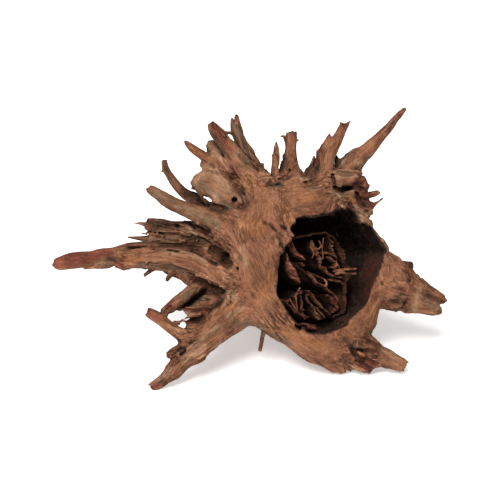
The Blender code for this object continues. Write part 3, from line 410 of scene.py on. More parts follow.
# Shreds that stand up from the wood: (across, up, height of the middle, radius).
SHREDS = {
    "root_hair_a": [(-70, 28, 0.5, 0.6), (-61, 22.6, 1.6, 0.7), (-54.6, 15, 1.6, 0.7), (-53, 8, 0.6, 0.6)],
    "root_hair_b": [(-70, 12, 0.6, 0.7), (-69.4, 7.6, 1.6, 0.9), (-68, 3, 0.6, 0.7)],
    "bark_lip": [(-66, 29, 0, 1), (-58, 27.6, 1, 1.4), (-50, 26, 0, 1)],
    "sheath_lip": [(-136, 0, 0, 1), (-126, 3, 0.6, 1.6), (-112, 4, 0.6, 1.5), (-100, 5, 0, 1)],
    "sheath_crest": [(-128, -3.4, 0, 1.4), (-108, 0.4, 0.3, 2), (-84, 1.6, 0.3, 2), (-64, -2.4, 0.3, 2),
                     (-48, -9.4, 0.3, 2), (-36, -17.4, 0, 1.4)],
    "hollow_lip": [(-44, -8, 0, 1), (-33, -12.4, 0.4, 1.7), (-25, -19.6, 0.4, 1.7), (-21, -24, 0, 1)],
    "hollow_brow": [(-38, 6, 0, 1), (-28, 2.6, 0.4, 1.6), (-19, -3, 0.4, 1.6), (-14, -11, 0, 1)],
    "trunk_ridge": [(-20, 8, 0, 1.4), (-11, 1, 0.3, 2.2), (-5, -9, 0.3, 2.2), (-2.4, -19, 0, 1.4)],
    "ledge": [(24, 73, 0, 1.4), (38, 72, 0.4, 2.4), (54, 70, 0.6, 2.6), (66, 72, 0.3, 2)],
    "light_ridge": [(69, 60, 0, 1.6), (80, 58.4, 1, 2.4), (90, 55, 1, 2.4), (98, 57, 1.2, 2),
                    (104.5, 60, 1.6, 1.4)],
    "light_ridge_b": [(88, 51.6, 0, 1.4), (97, 52, 0.8, 2), (104, 50, 0.6, 1.6)],
    "orange_ridge": [(160.6, -24, 0, 1.2), (161.6, -30, 0.6, 1.7), (162.4, -36, 0, 1.2)],
    "cross_plank": [(-88, -72, 0, 1.4), (-78, -77, 0.5, 2), (-68, -80, 0.3, 1.6)],
    "tongue": [(104, 46, 0, 3), (110, 38.6, 0.6, 5), (113, 31.6, 0.6, 5.2)],
    "rim_lip": [(49, 34.6, -0.6, 1.2), (58, 36.6, 0, 1.4), (72, 37.6, 0, 1.4), (84, 41, 0, 1.2)],
    "blade_edge": [(-38, 124, 0, 1), (-30, 111, 0.4, 1.4), (-22, 98, 0.4, 1.4), (-18, 91, 0, 1)],
    "belly_shred": [(34, -74, 0, 1), (36.4, -79, 0.6, 1.2), (40, -86.6, 0.4, 1.2)],
}

# Tints seen from the front, as strokes of (across, up, reach). The dark ones are partly real cracks and spots
# and partly painted shade in gaps, hollows and on faces turned away from the light.
STAINS_AND_SHADE = {
    "red": [
        [(-196, -12, 6), (-186, -11.6, 10), (-172, -9, 9), (-160, -6.6, 7), (-150, -3, 6), (-141, -1, 4)],
        [(-132, -11, 2), (-128.6, -15, 2.4), (-126.6, -18.4, 2)], [(-119, -12.6, 1.2), (-114, -12.4, 1.6)],
        [(-40, 127, 3), (-35, 121, 2.6), (-30, 115, 2.6), (-25, 108, 3.4), (-20, 100, 3.4), (-17, 95, 2)],
        # The stroke from (-61, 100) to (-40, 84) is painted shadow under the orange root's base, laid on as
        # dark red.
        [(-65, 108, 2), (-63, 104, 2)], [(-61, 100, 1), (-50, 91, 1), (-40, 84, 1.2)],
        [(-38, 78, 3), (-30, 75.6, 3)], [(-20, 83, 1.6), (-17, 77, 2), (-18.6, 70, 2)],
        [(-8, 44, 1.6), (-2.4, 46, 1.6)], [(-6, 50, 1.6), (-4, 55, 1.6)], [(-17, 133, 1.6), (-13, 121, 1.2)],
        [(45.6, 116, 2.4), (45.6, 111, 1.8)], [(67.4, 99, 2)], [(69, 96, 2), (66, 90, 2)], [(95, 126, 3)],
        [(80.6, 115.6, 2)], [(57, 73, 3.4), (60, 72, 3)], [(94, 70, 4), (98, 73, 4)],
        [(104, 66, 4), (110, 68, 6), (112, 62, 5)], [(106, 55, 3), (114, 55, 4), (122, 54, 3.4),
                                                     (127, 57, 2.4)],
        [(102, 47, 3), (112, 47, 4.4), (122, 46, 4)], [(115, -27, 7), (124, -10, 6), (117, -45, 5)],
        [(128, -103, 2.4), (120, -100, 2.4)], [(108, -105, 3), (114, -104, 3)],
        [(112, -115, 5), (122, -116, 6)], [(-103, -58, 2), (-102, -66, 2)], [(-98, -66, 4), (-92, -70, 4)],
        [(-84, -105, 2.4), (-81, -111, 2.4)], [(-98, -138, 3), (-90, -133, 3)],
        [(-64, -58, 2), (-54, -60, 2.4), (-42, -60, 2)], [(-62, -71, 3), (-50, -71, 3.6)],
        [(-60, -26.4, 2), (-52, -29, 2)], [(60, -77, 6), (66, -78, 5)], [(161.6, -27, 2), (162.4, -34, 2)],
        [(28, -79, 2), (36, -86, 2), (40, -88, 2)],
        [(60, 37, 1.6), (66, 38, 1.6)], [(-86, -50, 3), (-80, -56, 3)], [(-90, -60, 2.4)],
    ],
    "orange": [
        [(13, -38, 7), (14, -42, 7)], [(-58, 103, 4), (-48, 95, 4), (-38, 88, 3)], [(24, -76, 4),
                                                                                    (38, -84, 5)],
        [(30, -56, 4), (36, -66, 5), (44, -78, 5)], [(122, -58, 6), (120, -66, 6)], [(50, -88, 5),
                                                                                     (70, -96, 5)],
        [(-86, -74, 4), (-76, -78, 5), (-68, -80, 4)], [(-18, -58, 6), (-12, -66, 6)], [(8, 24, 8),
                                                                                        (-6, 28, 6)],
        [(162, -31, 2.4)], [(120, 107, 4)], [(-2, 72, 6), (4, 66, 5)], [(40, 24, 6), (36, 40, 6)],
        [(96, 52, 3), (102, 51, 3)], [(-134, 0, 2.4), (-126, -8, 5), (-118, -10, 6)], [(110, -102, 4)],
        [(-26, 78, 2.4)], [(60, 52, 8)], [(100, -76, 8)], [(24, -26, 7)],
    ],
    "grey": [
        [(-98, 58, 5), (-84, 52, 6), (-66, 41, 6), (-46, 32, 7), (-34, 26, 7)],
        [(-16, 126, 4), (-10, 112, 5), (-4, 100, 5), (0, 90, 4)], [(-12, 96, 4), (-4, 86, 4)],
        [(-52, 66, 6), (-46, 62, 6), (-30, 52, 5)], [(-26, 46, 5), (-20, 44, 4)],
        [(22, 64, 4), (32, 66, 3)], [(64, 62, 5)], [(-50, 70, 5), (-44, 62, 6)], [(-30, 50, 5), (-24, 46, 4)],
        [(66, 82, 3.4), (68, 78, 2)], [(88, 88, 5), (100, 94, 5)], [(94, 46, 3)],
        [(-96, 26, 5), (-84, 26, 5)], [(-66, 22, 6), (-56, 14, 5), (-46, 8, 4)], [(-80, 9, 4), (-110, 9, 3)],
        [(-110, -16, 3), (-92, -16, 3.4), (-72, -19, 4), (-58, -24, 3)], [(-68, -46, 6), (-58, -42, 5)],
        [(-52, -49, 4), (-58, -54, 4), (-46, -46, 4)], [(174, -50, 4), (186, -58, 5)],
        [(150, -46, 4)], [(-150, -16, 4), (-142, -12, 4)], [(-70, -101, 4)], [(-16, -72, 4), (0, -74, 4),
                                                                              (14, -78, 4)],
        [(24, -84, 4), (40, -94, 3)], [(16, 70, 3)], [(-82, 72, 4), (-86, 84, 4)],
        [(100, -96, 3), (112, -99, 3)], [(-24, 98, 3)],
    ],
    "pale": [
        [(-42, 104, 6), (-36, 100, 7), (-30, 95, 5)], [(-44, 84, 4), (-36, 80, 4)],
        [(-35, 75, 5), (-29, 68, 6), (-23, 60, 5)], [(-56, 66, 3), (-50, 74, 3), (-42, 76, 3)],
        [(88, 75, 4), (96, 76, 5), (104, 75, 3)],
        [(-35, 54, 3), (-34, 49, 3)], [(-18, 54, 3), (-8, 50, 4), (-6, 56, 3)], [(84, 79.6, 1),
                                                                                 (96, 80.6, 1.2),
                                                                                 (108, 79, 1)],
        [(60, 72, 2), (46, 72, 2)], [(132, 51, 3), (128, 48, 2)], [(82, 57.6, 3), (92, 54, 3), (103, 59, 2)],
        [(-50, -47, 2.4), (-42, -49, 2)], [(-60, -55, 2), (-50, -55, 2)], [(-64, -63, 2), (-56, -64, 2)],
        [(-69, 9, 1), (-68, 4, 1)], [(-62, 24, 1), (-54, 14, 1)], [(-116, 25, 2), (-108, 24.6, 2)],
        [(-95, 20, 2), (-82, 16, 2.4), (-70, 12, 2)], [(-26, -49, 1.6), (-24, -54, 1.6)],
        [(-60, 27.4, 1.4), (-52, 26.4, 1.4)], [(-24, -42, 4), (-16, -48, 4)], [(-32, -76, 3),
                                                                               (-56, -96, 3)],
                                                                               [(-46, -94, 3),
                                                                                (-66, -112, 3)],
        [(-78, -118, 3), (-92, -131, 3)], [(-70, -82, 2), (-82, -76, 2)], [(-8, -58, 3), (-22, -66, 3)],
        [(170, -38, 3), (150, -104, 4), (136, -98, 4)],
        [(108, 42, 5), (113, 36, 6), (113.6, 30, 5.6)], [(-84, 0, 3), (-60, -4, 3), (-46, -12, 3)],
        [(108, 88, 4)], [(-8, 2, 3), (-4, -14, 3)],
    ],
    # Real cracks and dark spots, and painted shade in gaps, hollows and on faces turned from the light.
    "dark": [
        [(13, 26.6, 1), (20, 25, 1.2), (25, 20.4, 1.3), (29, 12.4, 1.3), (31.2, 5.5, 1.3), (33.4, 1, 1.2)],
        [(106, 68, 2), (112, 66, 2.4)], [(112, 57, 2), (120, 57, 1.6)], [(112, 46, 2), (120, 46, 1.6)],
        [(108, 72, 1.6)], [(-30, -45, 4), (-40, -42, 3)], [(-58, -61, 1.4), (-48, -60, 2)],
        [(-68, 60, 3.4), (-58, 54, 5), (-48, 48.6, 4.4), (-38, 43, 4.4), (-31, 40, 4)],
        [(-40, 119, 1.6), (-35, 111, 2.6), (-29, 103, 2.6), (-23, 95, 2.2), (-20, 91, 1.2)],
        [(-8, 110, 2), (-6, 103, 2)], [(-15.6, 131, 0.9), (-13.6, 122, 0.9)], [(8, 84, 3), (8, 80, 3)],
        [(27, 94.6, 1.6)], [(33, 94, 1.8), (32, 88, 1.8), (30, 78, 1.6)], [(34, 112, 1.8), (35.4, 108, 1.4)],
        [(30.6, 114, 1)], [(57, 78, 3), (60, 84, 2.6), (62, 74, 3)], [(64.6, 78, 3), (66, 82, 3),
                                                                      (68, 85, 2)],
        [(84, 66, 1.6), (90, 60.4, 3.4), (98, 61, 3)], [(106, 56, 2), (108, 50, 2), (110, 45, 2)],
        [(106, 63, 2), (112, 61, 1.6)], [(113, 51, 1.2), (120, 50.4, 1.2)], [(162, -14, 3), (164, -18, 2)],
        [(120, 21, 3), (128, 10, 2.6), (134, 2, 2)], [(-35, -1, 4), (-27, -6, 7), (-22, -11, 5)],
        [(-141, -9, 2.4), (-136, -10, 2.4)], [(-106, -27, 1), (-97, -20.4, 1)], [(-82, -29, 2),
                                                                                 (-78, -24, 2)],
        [(-54, -30, 2), (-42, -35, 3.4), (-32, -39, 3.4), (-26, -43, 2)],
        [(-46, -42, 2), (-56, -50, 2.4), (-64, -55.4, 1.4)], [(-82, -64, 1.6), (-76, -60, 1.6)],
        [(-40, -60, 1.6), (-34, -57, 2.4), (-28, -51, 2)], [(-60, -70.6, 1.6), (-50, -70.6, 2.4)],
        [(-38, -41, 3), (-30, -43, 3)], [(-66, -101, 2)], [(-58, -92, 1.4)], [(-102, 28, 2), (-90, 27, 2.6),
                                                                              (-76, 26, 2.4)],
        [(-72, 22, 2.4)], [(-90, 5, 1.6), (-74, 4.4, 1.8), (-58, 3.6, 1.8)], [(-48, 24, 2), (-40, 19, 1.6)],
        [(-46, 15, 1.4), (-38, 12.6, 1.4)], [(-60, 25, 1.8)], [(12, 70, 0.8), (18, 66, 1.6), (24, 64.6, 1.6)],
        [(112, -114, 3), (120, -118, 3)], [(127, -121, 1.6)], [(102, -99, 2), (104, -104, 1.6)],
        [(106, -99, 1.2), (118, -101, 1.4)], [(134, -59.6, 1), (148, -59.4, 1)], [(124.6, -90.4, 1.6)],
        [(12, -86, 2), (10, -98, 2), (16, -90, 2)], [(30, -90, 1.6)], [(101, -121, 1.4)],
        [(22, -66, 1.2), (25, -71, 1.2)], [(16, -56, 1)], [(0, -1, 2), (4, -5, 2)], [(48, 20, 3),
                                                                                     (60, 28, 3)],
        [(-86, 86, 1.4), (-82, 76, 1.4)], [(-77, -61, 1)], [(132, -33, 1.4)], [(3, -45, 1.4)],
    ],
}
# Where the wood has worn smooth, in the same way.
CALM = [
    [(10, 40, 20), (8, 10, 24), (8, -30, 26), (0, -66, 18)], [(50, 48, 18), (80, 52, 8)], [(40, -92, 12),
                                                                                           (80, -100, 20)],
    [(132, -28, 22), (116, -70, 12), (104, -80, 12)], [(166, -46, 14), (186, -54, 14)],
    [(-190, -13, 12), (-160, -8, 10), (-136, -6, 8)], [(-116, -9, 9), (-84, -8, 9), (-56, -14, 8),
                                                       (-34, -24, 7)],
    [(-98, 59, 8), (-70, 44, 10), (-40, 30, 10)], [(-84, 82, 5), (-70, 62, 6)], [(-58, 103, 6), (-42, 92, 6)],
    [(-38, 100, 10), (-50, 68, 12), (-34, 62, 12), (-14, 52, 10)], [(108, 92, 10), (130, 114, 8)],
    [(78, 88, 8), (90, 118, 6)], [(41, 110, 7), (41, 88, 8)], [(96, 71, 10)], [(148, -110, 12),
                                                                               (132, -104, 6)],
    [(-96, -66, 6), (-78, -78, 8)], [(-64, -48, 6)], [(-50, -52, 8)], [(-40, -84, 12), (-24, -70, 12)],
    [(-38, 118, 5), (-24, 100, 6), (-6, 84, 7)],
]

# Directions that the grain follows on the trunk, where no root leads it: (across, up, out, radius).
GRAIN_GUIDES = [
    [(40, 74, 6, 22), (12, 56, 30, 22), (2, 26, 42, 24), (2, -6, 48, 24), (12, -40, 48, 24),
     (34, -72, 42, 22), (62, -94, 34, 18), (88, -104, 22, 16)],
    [(-8, 62, 4, 16), (18, 62, 16, 18), (50, 60, 20, 18), (84, 62, 10, 16), (112, 52, 0, 12)],
    [(122, 30, -6, 10), (136, 4, -4, 14), (134, -24, 8, 18), (122, -50, 12, 16), (108, -74, 18, 16),
     (84, -92, 26, 16)],
]
HOLLOW_GRAIN = [(82, -22, 31, 30), (62, -22, -12, 30), (41, -22, -57, 20)]

# Colours of the wood, each from its darkest to its palest fibres: (tone, colour).
BROWN = [(0.10, (0.030, 0.011, 0.006)), (0.30, (0.109, 0.042, 0.021)), (0.48, (0.228, 0.094, 0.048)),
         (0.66, (0.350, 0.158, 0.085)), (0.90, (0.540, 0.295, 0.178))]
RED = [(0.12, (0.028, 0.008, 0.005)), (0.40, (0.125, 0.031, 0.018)), (0.64, (0.250, 0.080, 0.046)),
       (0.92, (0.440, 0.190, 0.120))]
GREY = [(0.12, (0.028, 0.018, 0.011)), (0.42, (0.110, 0.067, 0.039)), (0.66, (0.225, 0.143, 0.087)),
        (0.92, (0.420, 0.290, 0.190))]
ORANGE = [(0.12, (0.050, 0.016, 0.006)), (0.42, (0.210, 0.080, 0.030)), (0.66, (0.400, 0.175, 0.074)),
          (0.92, (0.560, 0.300, 0.150))]
PALE = [(0.12, (0.110, 0.055, 0.030)), (0.45, (0.325, 0.182, 0.105)), (0.90, (0.590, 0.380, 0.240))]
WORN_HEARTWOOD = [(0.10, (0.050, 0.017, 0.009)), (0.45, (0.145, 0.052, 0.027)),
                  (0.90, (0.330, 0.145, 0.078))]
RED_HEARTWOOD = [(0.10, (0.036, 0.010, 0.007)), (0.45, (0.130, 0.038, 0.023)),
                 (0.90, (0.290, 0.115, 0.068))]
# Dark marks, and painted shade where the dark strokes lie in gaps and hollows.
DARK_MARK_AND_SHADE_COLOUR = (0.035, 0.016, 0.010, 1.0)
CRACK_COLOUR = (0.020, 0.009, 0.006, 1.0)
# Painted shade in the wood's creases and nooks.
CREVICE_SHADE_COLOUR = (0.016, 0.007, 0.004, 1.0)
# Painted shade that darkens the hollow from the mouth inwards.
HOLLOW_SHADE_COLOUR = (0.010, 0.005, 0.004, 1.0)
# Painted shade in the fins' creases.
FIN_CREVICE_SHADE_COLOUR = (0.016, 0.007, 0.005, 1.0)
# Painted shade on the fins behind their front edges, deep in the hollow.
FIN_HOLLOW_SHADE_COLOUR = (0.012, 0.006, 0.004, 1.0)


def upright(points):
    """World coordinates, in metres, of points given as (across, up, out) in the front view.

    A point lies on the viewer's line of sight through (across, up), so it closes in on the
    middle of the view as it comes nearer. The tilt then stands the piece on its feet.
    """
    across, up, out = np.asarray(points, float)[..., :3].reshape(-1, 3).T
    nearness = 1.0 - out / VIEWER_DISTANCE
    across, up = across * nearness, up * nearness
    level = up * math.sin(LOOK_DOWN) - out * math.cos(LOOK_DOWN)
    height = up * math.cos(LOOK_DOWN) + out * math.sin(LOOK_DOWN)
    return np.stack([across - MIDDLE[0], level - MIDDLE[1], height + SEAT_DEPTH], 1) * MM


def in_view(places):
    """The reverse of upright: (across, up, out) in the front view, from world metres."""
    right, level, height = (np.asarray(places, float) / MM + (*MIDDLE, -SEAT_DEPTH)).T
    up = level * math.sin(LOOK_DOWN) + height * math.cos(LOOK_DOWN)
    out = height * math.sin(LOOK_DOWN) - level * math.cos(LOOK_DOWN)
    nearness = 1.0 - out / VIEWER_DISTANCE
    return np.stack([right / nearness, up / nearness, out], 1)


def smooth_route(points, step=4.0):
    """A Catmull-Rom curve through the points, with about one sample every step millimetres."""
    given = np.asarray(points, float)
    padded = np.vstack([2 * given[0] - given[1], given, 2 * given[-1] - given[-2]])
    route = []
    for a, b, c, d in zip(padded, padded[1:], padded[2:], padded[3:]):
        count = max(1, round(np.linalg.norm(c[:3] - b[:3]) / step))
        t = (np.arange(count) / count)[:, None]
        route.append(0.5 * (2 * b + (c - a) * t + (2 * a - 5 * b + 4 * c - d) * t**2
                            + (3 * b - a - 3 * c + d) * t**3))
    route = np.vstack([*route, given[-1:]])
    if route.shape[1] > 3:
        route[:, 3] = np.maximum(route[:, 3], 0.5)
    return route


def tangents(route):
    """Unit vectors along the route."""
    along = np.gradient(route[:, :3], axis=0)
    return along / np.linalg.norm(along, axis=1)[:, None]


def soft_min(a, b, blend):
    """The lesser of a and b, less a quarter of blend where they are equal, fading out at blend apart."""
    overlap = np.maximum(blend - np.abs(a - b), 0.0) / blend
    return np.minimum(a, b) - overlap * overlap * (blend / 4)


def soft_max(a, b, blend):
    """The greater of a and b, with the same rounding as soft_min."""
    return -soft_min(-a, -b, blend)


def ease(t, low=0.0, high=1.0):
    """0 up to low and 1 from high, with the smooth step 3t^2 - 2t^3 in between."""
    t = np.clip((t - low) / (high - low), 0.0, 1.0)
    return t * t * (3 - 2 * t)


class Lattice:
    """Smooth random values in space, from -1 to 1.

    The value at a point is the trilinear mix, with eased weights, of the random values at the
    eight corners of its cell in a lattice that repeats every 32 cells.
    """

    def __init__(self, seed):
        self.values = np.random.default_rng(seed).uniform(-1, 1, 32**3).astype(np.float32)

    def at(self, points, cell):
        """The values at the points, for cells of this size."""
        scaled = np.asarray(points, np.float32) / np.float32(cell)
        whole = np.floor(scaled)
        part = scaled - whole
        part = part * part * (3 - 2 * part)
        near = whole.astype(np.int32) & 31
        far = (near + 1) & 31
        total = 0.0
        for corner in range(8):
            x, y, z = ((far if corner >> axis & 1 else near)[:, axis] for axis in range(3))
            weight = 1.0
            for axis in range(3):
                weight = weight * (part[:, axis] if corner >> axis & 1 else 1 - part[:, axis])
            total = total + weight * self.values[(x * 32 + y) * 32 + z]
        return total

    def along(self, points, fibres, cell, taps=11):
        """The mean of the values at places along the fibre, 0.6 of a cell apart, rescaled.

        It changes slowly along the grain and fast across it.
        """
        steps = (np.arange(taps, dtype=np.float32) - taps // 2) * np.float32(0.6 * cell)
        return sum(self.at(points + s * fibres, cell) for s in steps) * (0.8 / math.sqrt(taps))


def mixed(values, places):
    """A grid's value at places given in cells, mixed from the eight grid points round each."""
    whole = np.clip(np.floor(places).astype(int), 0, np.array(values.shape[:3]) - 2)
    part = np.clip(places - whole, 0, 1)
    total = 0.0
    for corner in np.ndindex(2, 2, 2):
        weight = np.prod(np.where(corner, part, 1 - part), axis=1)
        total = total + weight.reshape(-1, *[1] * (values.ndim - 3)) * values[tuple((whole + corner).T)]
    return total


# The eight corners of every cell of a grid, as slices of it. Corner n lies on the far side of the
# cell along each axis whose bit is set in n.
CORNERS = [tuple(slice(1, None) if n >> axis & 1 else slice(None, -1) for axis in range(3))
           for n in range(8)]


class Field:
    """Distances to the wood's surface on a grid, negative inside, and the girth of the wood there."""

    def __init__(self, low, high, cell):
        self.low, self.cell = np.asarray(low, float), cell
        self.axes = [np.arange(a, b, cell, dtype=np.float32) for a, b in zip(low, high)]
        shape = [len(axis) for axis in self.axes]
        self.distance = np.full(shape, FAR, np.float32)
        self.girth = np.full(shape, 20.0, np.float32)

    def window(self, low, high):
        """The slices between two corners, and the coordinates there, ready to broadcast."""
        shape = self.distance.shape
        first = np.clip(((low - self.low) / self.cell).astype(int), 0, shape)
        last = np.clip(((high - self.low) / self.cell).astype(int) + 2, first, shape)
        cut = tuple(slice(a, b) for a, b in zip(first, last))
        x, y, z = (axis[c] for axis, c in zip(self.axes, cut))
        return cut, (x[:, None, None], y[None, :, None], z[None, None, :])

    def tube(self, route, reach=REACH):
        """Distance and radius of a root near its route.

        For each straight piece of the route, the distance from the point to its nearest place on
        the piece, less the radius there. The least of these is kept.
        """
        pad = route[:, 3].max() + reach
        cut, _ = self.window(route[:, :3].min(0) - pad, route[:, :3].max(0) + pad)
        shape = [c.stop - c.start for c in cut]
        distance = np.full(shape, FAR, np.float32)
        girth = np.full(shape, 1.0, np.float32)
        for a, b in zip(route, route[1:]):
            pad = max(a[3], b[3]) + reach
            part, (x, y, z) = self.window(np.minimum(a, b)[:3] - pad, np.maximum(a, b)[:3] + pad)
            inner = tuple(slice(p.start - c.start, p.stop - c.start) for p, c in zip(part, cut))
            run = (b - a).astype(np.float32)
            length = float(run[:3] @ run[:3]) + 1e-6
            t = ((x - a[0]) * run[0] + (y - a[1]) * run[1] + (z - a[2]) * run[2]) / length
            t = np.clip(t, 0.0, 1.0)
            radius = a[3] + run[3] * t
            found = np.sqrt((x - a[0] - run[0] * t) ** 2 + (y - a[1] - run[1] * t) ** 2
                            + (z - a[2] - run[2] * t) ** 2) - radius
            nearer = found < distance[inner]
            distance[inner] = np.where(nearer, found, distance[inner])
            girth[inner] = np.where(nearer, radius, girth[inner])
        return cut, distance, girth

    def root(self, route, lattice):
        """A root with a broken end: its tube, cut off where the fibres of its tip end.

        The tube runs on past the tip, and the cut lies where the way past the tip equals a random
        length that is the same all along each fibre.
        """
        ahead = -tangents(route)[0]
        tip_radius = max(route[:3, 3].mean(), 1.2)
        start = np.append(route[0, :3] + ahead * tip_radius * 0.7, route[0, 3] * 0.85)
        cut, distance, girth = self.tube(np.vstack([start, route]))
        x, y, z = (axis[c] for axis, c in zip(self.axes, cut))
        x, y, z = x[:, None, None] - route[0, 0], y[:, None] - route[0, 1], z - route[0, 2]
        past = x * ahead[0] + y * ahead[1] + z * ahead[2]
        near = (past > -2.0 * tip_radius) & (distance < 4)
        points = np.stack([g[near] for g in np.broadcast_arrays(x, y, z)], 1)
        across = points - (points @ ahead)[:, None] * ahead
        length = lattice.at(across + route[0, :3], 3.6) + 0.5 * lattice.at(across + 40, 1.7)
        end = past[near] - 0.1 * tip_radius + length * min(tip_radius * 0.6, 3.0)
        distance[near] = np.maximum(distance[near], end * 0.8)
        return cut, distance, girth

    def grid(self):
        """The coordinates of all the grid points, ready to broadcast."""
        x, y, z = self.axes
        return x[:, None, None], y[None, :, None], z[None, None, :]

    def take_out(self, cut, distance, blend):
        """Cuts a shape out of the wood, its edges rounded over about blend millimetres."""
        self.distance[cut] = soft_max(self.distance[cut], -distance, blend)

    def add(self, cut, distance, girth, blend):
        """Joins a shape to the wood, with its joint filled in over about blend millimetres."""
        old = self.distance[cut]
        self.girth[cut] = np.where(distance < old, girth, self.girth[cut])
        self.distance[cut] = soft_min(old, distance, blend)

    def egg(self, centre, half_sizes):
        """Distance to an egg shape: how far out of it the scaled point is, over its rate of change."""
        centre, half = np.array(centre, np.float32), np.array(half_sizes, np.float32)
        cut, places = self.window(centre - half - REACH, centre + half + REACH)
        scaled = [(p - c) / h for p, c, h in zip(places, centre, half)]
        out = np.sqrt(sum(s * s for s in scaled)) + 1e-4
        slope = np.sqrt(sum((s / h) ** 2 for s, h in zip(scaled, half))) + 1e-5
        return cut, (out * (out - 1) / slope).astype(np.float32)

    def sample(self, values, points):
        """A grid's value at each point."""
        return mixed(values, (points - self.low) / self.cell)


class Front:
    """How far out the wood reaches at each place as seen from the front.

    In each column of the grid it is the outermost crossing of the surface, found by proportion
    between the two grid points on either side. Where there is no wood it is far behind.
    """

    def __init__(self, field):
        inside = field.distance < 0
        last = inside.shape[2] - 1 - inside[:, :, ::-1].argmax(2)
        i, j = np.indices(last.shape)
        here = field.distance[i, j, last]
        beyond = field.distance[i, j, np.minimum(last + 1, inside.shape[2] - 1)]
        out = field.low[2] + (last + np.clip(here / np.minimum(here - beyond, -1e-4), 0, 1)) * field.cell
        self.out, self.low, self.cell = np.where(inside.any(2), out, NO_WOOD), field.low, field.cell

    def at(self, across, up):
        """How far out the wood reaches at the nearest column."""
        i, j = (np.clip(np.round((v - low) / self.cell).astype(int), 0, size - 1)
                for v, low, size in zip((across, up), self.low, self.out.shape))
        return self.out[i, j]

    def lay(self, route, side):
        """A route drawn as (across, up, depth, radius), with its depth or height added to the surface's.

        Each depth is the middle one of the five nearest samples, so that a route doesn't jump.
        Where it leaves the wood it runs on at the depth that it left at.
        """
        out = self.at(route[:, 0], route[:, 1])
        on = out > NO_WOOD
        if not on.any():
            return None
        places = np.arange(len(route))
        out = np.interp(places, places[on], out[on])
        padded = np.pad(out, 2, mode="edge")
        out = np.median(np.stack([padded[n:n + len(out)] for n in range(5)]), 0)
        return np.column_stack([route[:, :2], out + side * route[:, 2], route[:, 3]])


def mouth_radius(angles):
    """The mouth's polar radius about its centre, read from the rim's points round the circle."""
    rim = np.array(MOUTH_RIM, float) - MOUTH_CENTRE[:2]
    rim[:, 0] /= math.cos(HOLLOW_TURN)
    order = np.argsort(np.arctan2(rim[:, 1], rim[:, 0]))
    at = np.arctan2(rim[:, 1], rim[:, 0])[order]
    return np.interp(angles, at, np.hypot(*rim[order].T), period=2 * math.pi)


INWARD = np.array([-math.sin(HOLLOW_TURN), 0.0, -math.cos(HOLLOW_TURN)])
SIDEWAYS = np.array([math.cos(HOLLOW_TURN), 0.0, -math.sin(HOLLOW_TURN)])


def hollow_place(x, y, z):
    """A point's share of the hollow's depth, its distance from the axis and its angle round it."""
    x, y, z = x - MOUTH_CENTRE[0], y - MOUTH_CENTRE[1], z - MOUTH_CENTRE[2]
    share = (x * INWARD[0] + z * INWARD[2]) / HOLLOW_DEPTH
    side = x * SIDEWAYS[0] + z * SIDEWAYS[2]
    return share, np.sqrt(side * side + y * y), np.arctan2(y + 0 * side, side + 0 * y)


def trunk_and_hollow(field):
    """The distances to the trunk's outside and to the hollow in it, in the window round them.

    Both are the distance from the hollow's axis less the mouth's outline, scaled by the profile's
    width at that depth. The wall's thickness is added for the trunk.
    """
    cut, (x, y, z) = field.window(np.array([-30.0, -115.0, -115.0]), np.array([165.0, 80.0, 66.0]))
    share, out, angle = hollow_place(x, y, z)
    outline = mouth_radius(angle).astype(np.float32)
    thin = np.clip(np.minimum(angle - THIN_WALL_FROM, THIN_WALL_TO - angle) / 0.25, 0, 1)
    wall = (WALL + (THIN_WALL - WALL) * thin) * np.interp(share, *zip(*WALL_PROFILE))
    width = outline * np.interp(share, *zip(*HOLLOW_PROFILE))
    trunk = np.maximum(out - width - wall, HOLLOW_DEPTH * np.maximum(-share, share - 1.12))
    hollow = np.maximum(out - width, HOLLOW_DEPTH * np.maximum(-0.55 - share, share - 1.0))
    return cut, trunk.astype(np.float32), hollow.astype(np.float32)


class Grain:
    """Which way the fibres run, on a coarse grid: the main axis of the mean of the nearby roots' own.

    Each root's direction d counts as the matrix d d^T, which has no sign, with a weight that
    falls off from its surface. The largest eigenvector is the fibre.
    """

    step = 4.5

    def __init__(self, routes):
        self.axes = [np.arange(low, high, self.step) for low, high in zip(FIELD_LOW, FIELD_HIGH)]
        shape = [len(axis) for axis in self.axes]
        total = np.zeros([*shape, 3, 3], np.float32)
        total[..., 0, 0] = 1e-5
        for route, strength, fade in routes:
            self.spread(total, route, strength, fade)
        self.fibre = np.linalg.eigh(total)[1][..., 2]
        points = np.stack(np.meshgrid(*self.axes, indexing="ij"), -1) - MOUTH_CENTRE
        out = points - (points @ INWARD)[..., None] * INWARD
        out /= np.linalg.norm(out, axis=-1)[..., None] + 1e-6
        spiral = out + np.cross(INWARD, out)
        self.fibre *= np.where((self.fibre * spiral).sum(-1) < 0, -1, 1)[..., None]

    def spread(self, total, route, strength, fade):
        """Adds one route's direction to the cells round it."""
        pad = route[:, 3].max() + 4 * fade
        low, high = route[:, :3].min(0) - pad, route[:, :3].max(0) + pad
        cut = tuple(slice(*np.searchsorted(axis, (a, b)))
                    for axis, a, b in zip(self.axes, low, high))
        grid = np.meshgrid(*(axis[c] for axis, c in zip(self.axes, cut)), indexing="ij")
        points = np.stack(grid, -1).reshape(-1, 3)
        away = np.linalg.norm(points[:, None] - route[None, :, :3], axis=2) - route[None, :, 3]
        weight = strength * np.exp(-np.maximum(away.min(1), -6.0) / fade)
        along = tangents(route)[away.argmin(1)]
        total[cut] += (weight[:, None, None] * along[:, :, None] * along[:, None, :]
                       ).reshape([*grid[0].shape, 3, 3])

    def at(self, points):
        """The fibre's direction at each point, as a unit vector."""
        total = mixed(self.fibre, (points - FIELD_LOW) / self.step)
        return total / (np.linalg.norm(total, axis=1)[:, None] + 1e-6)


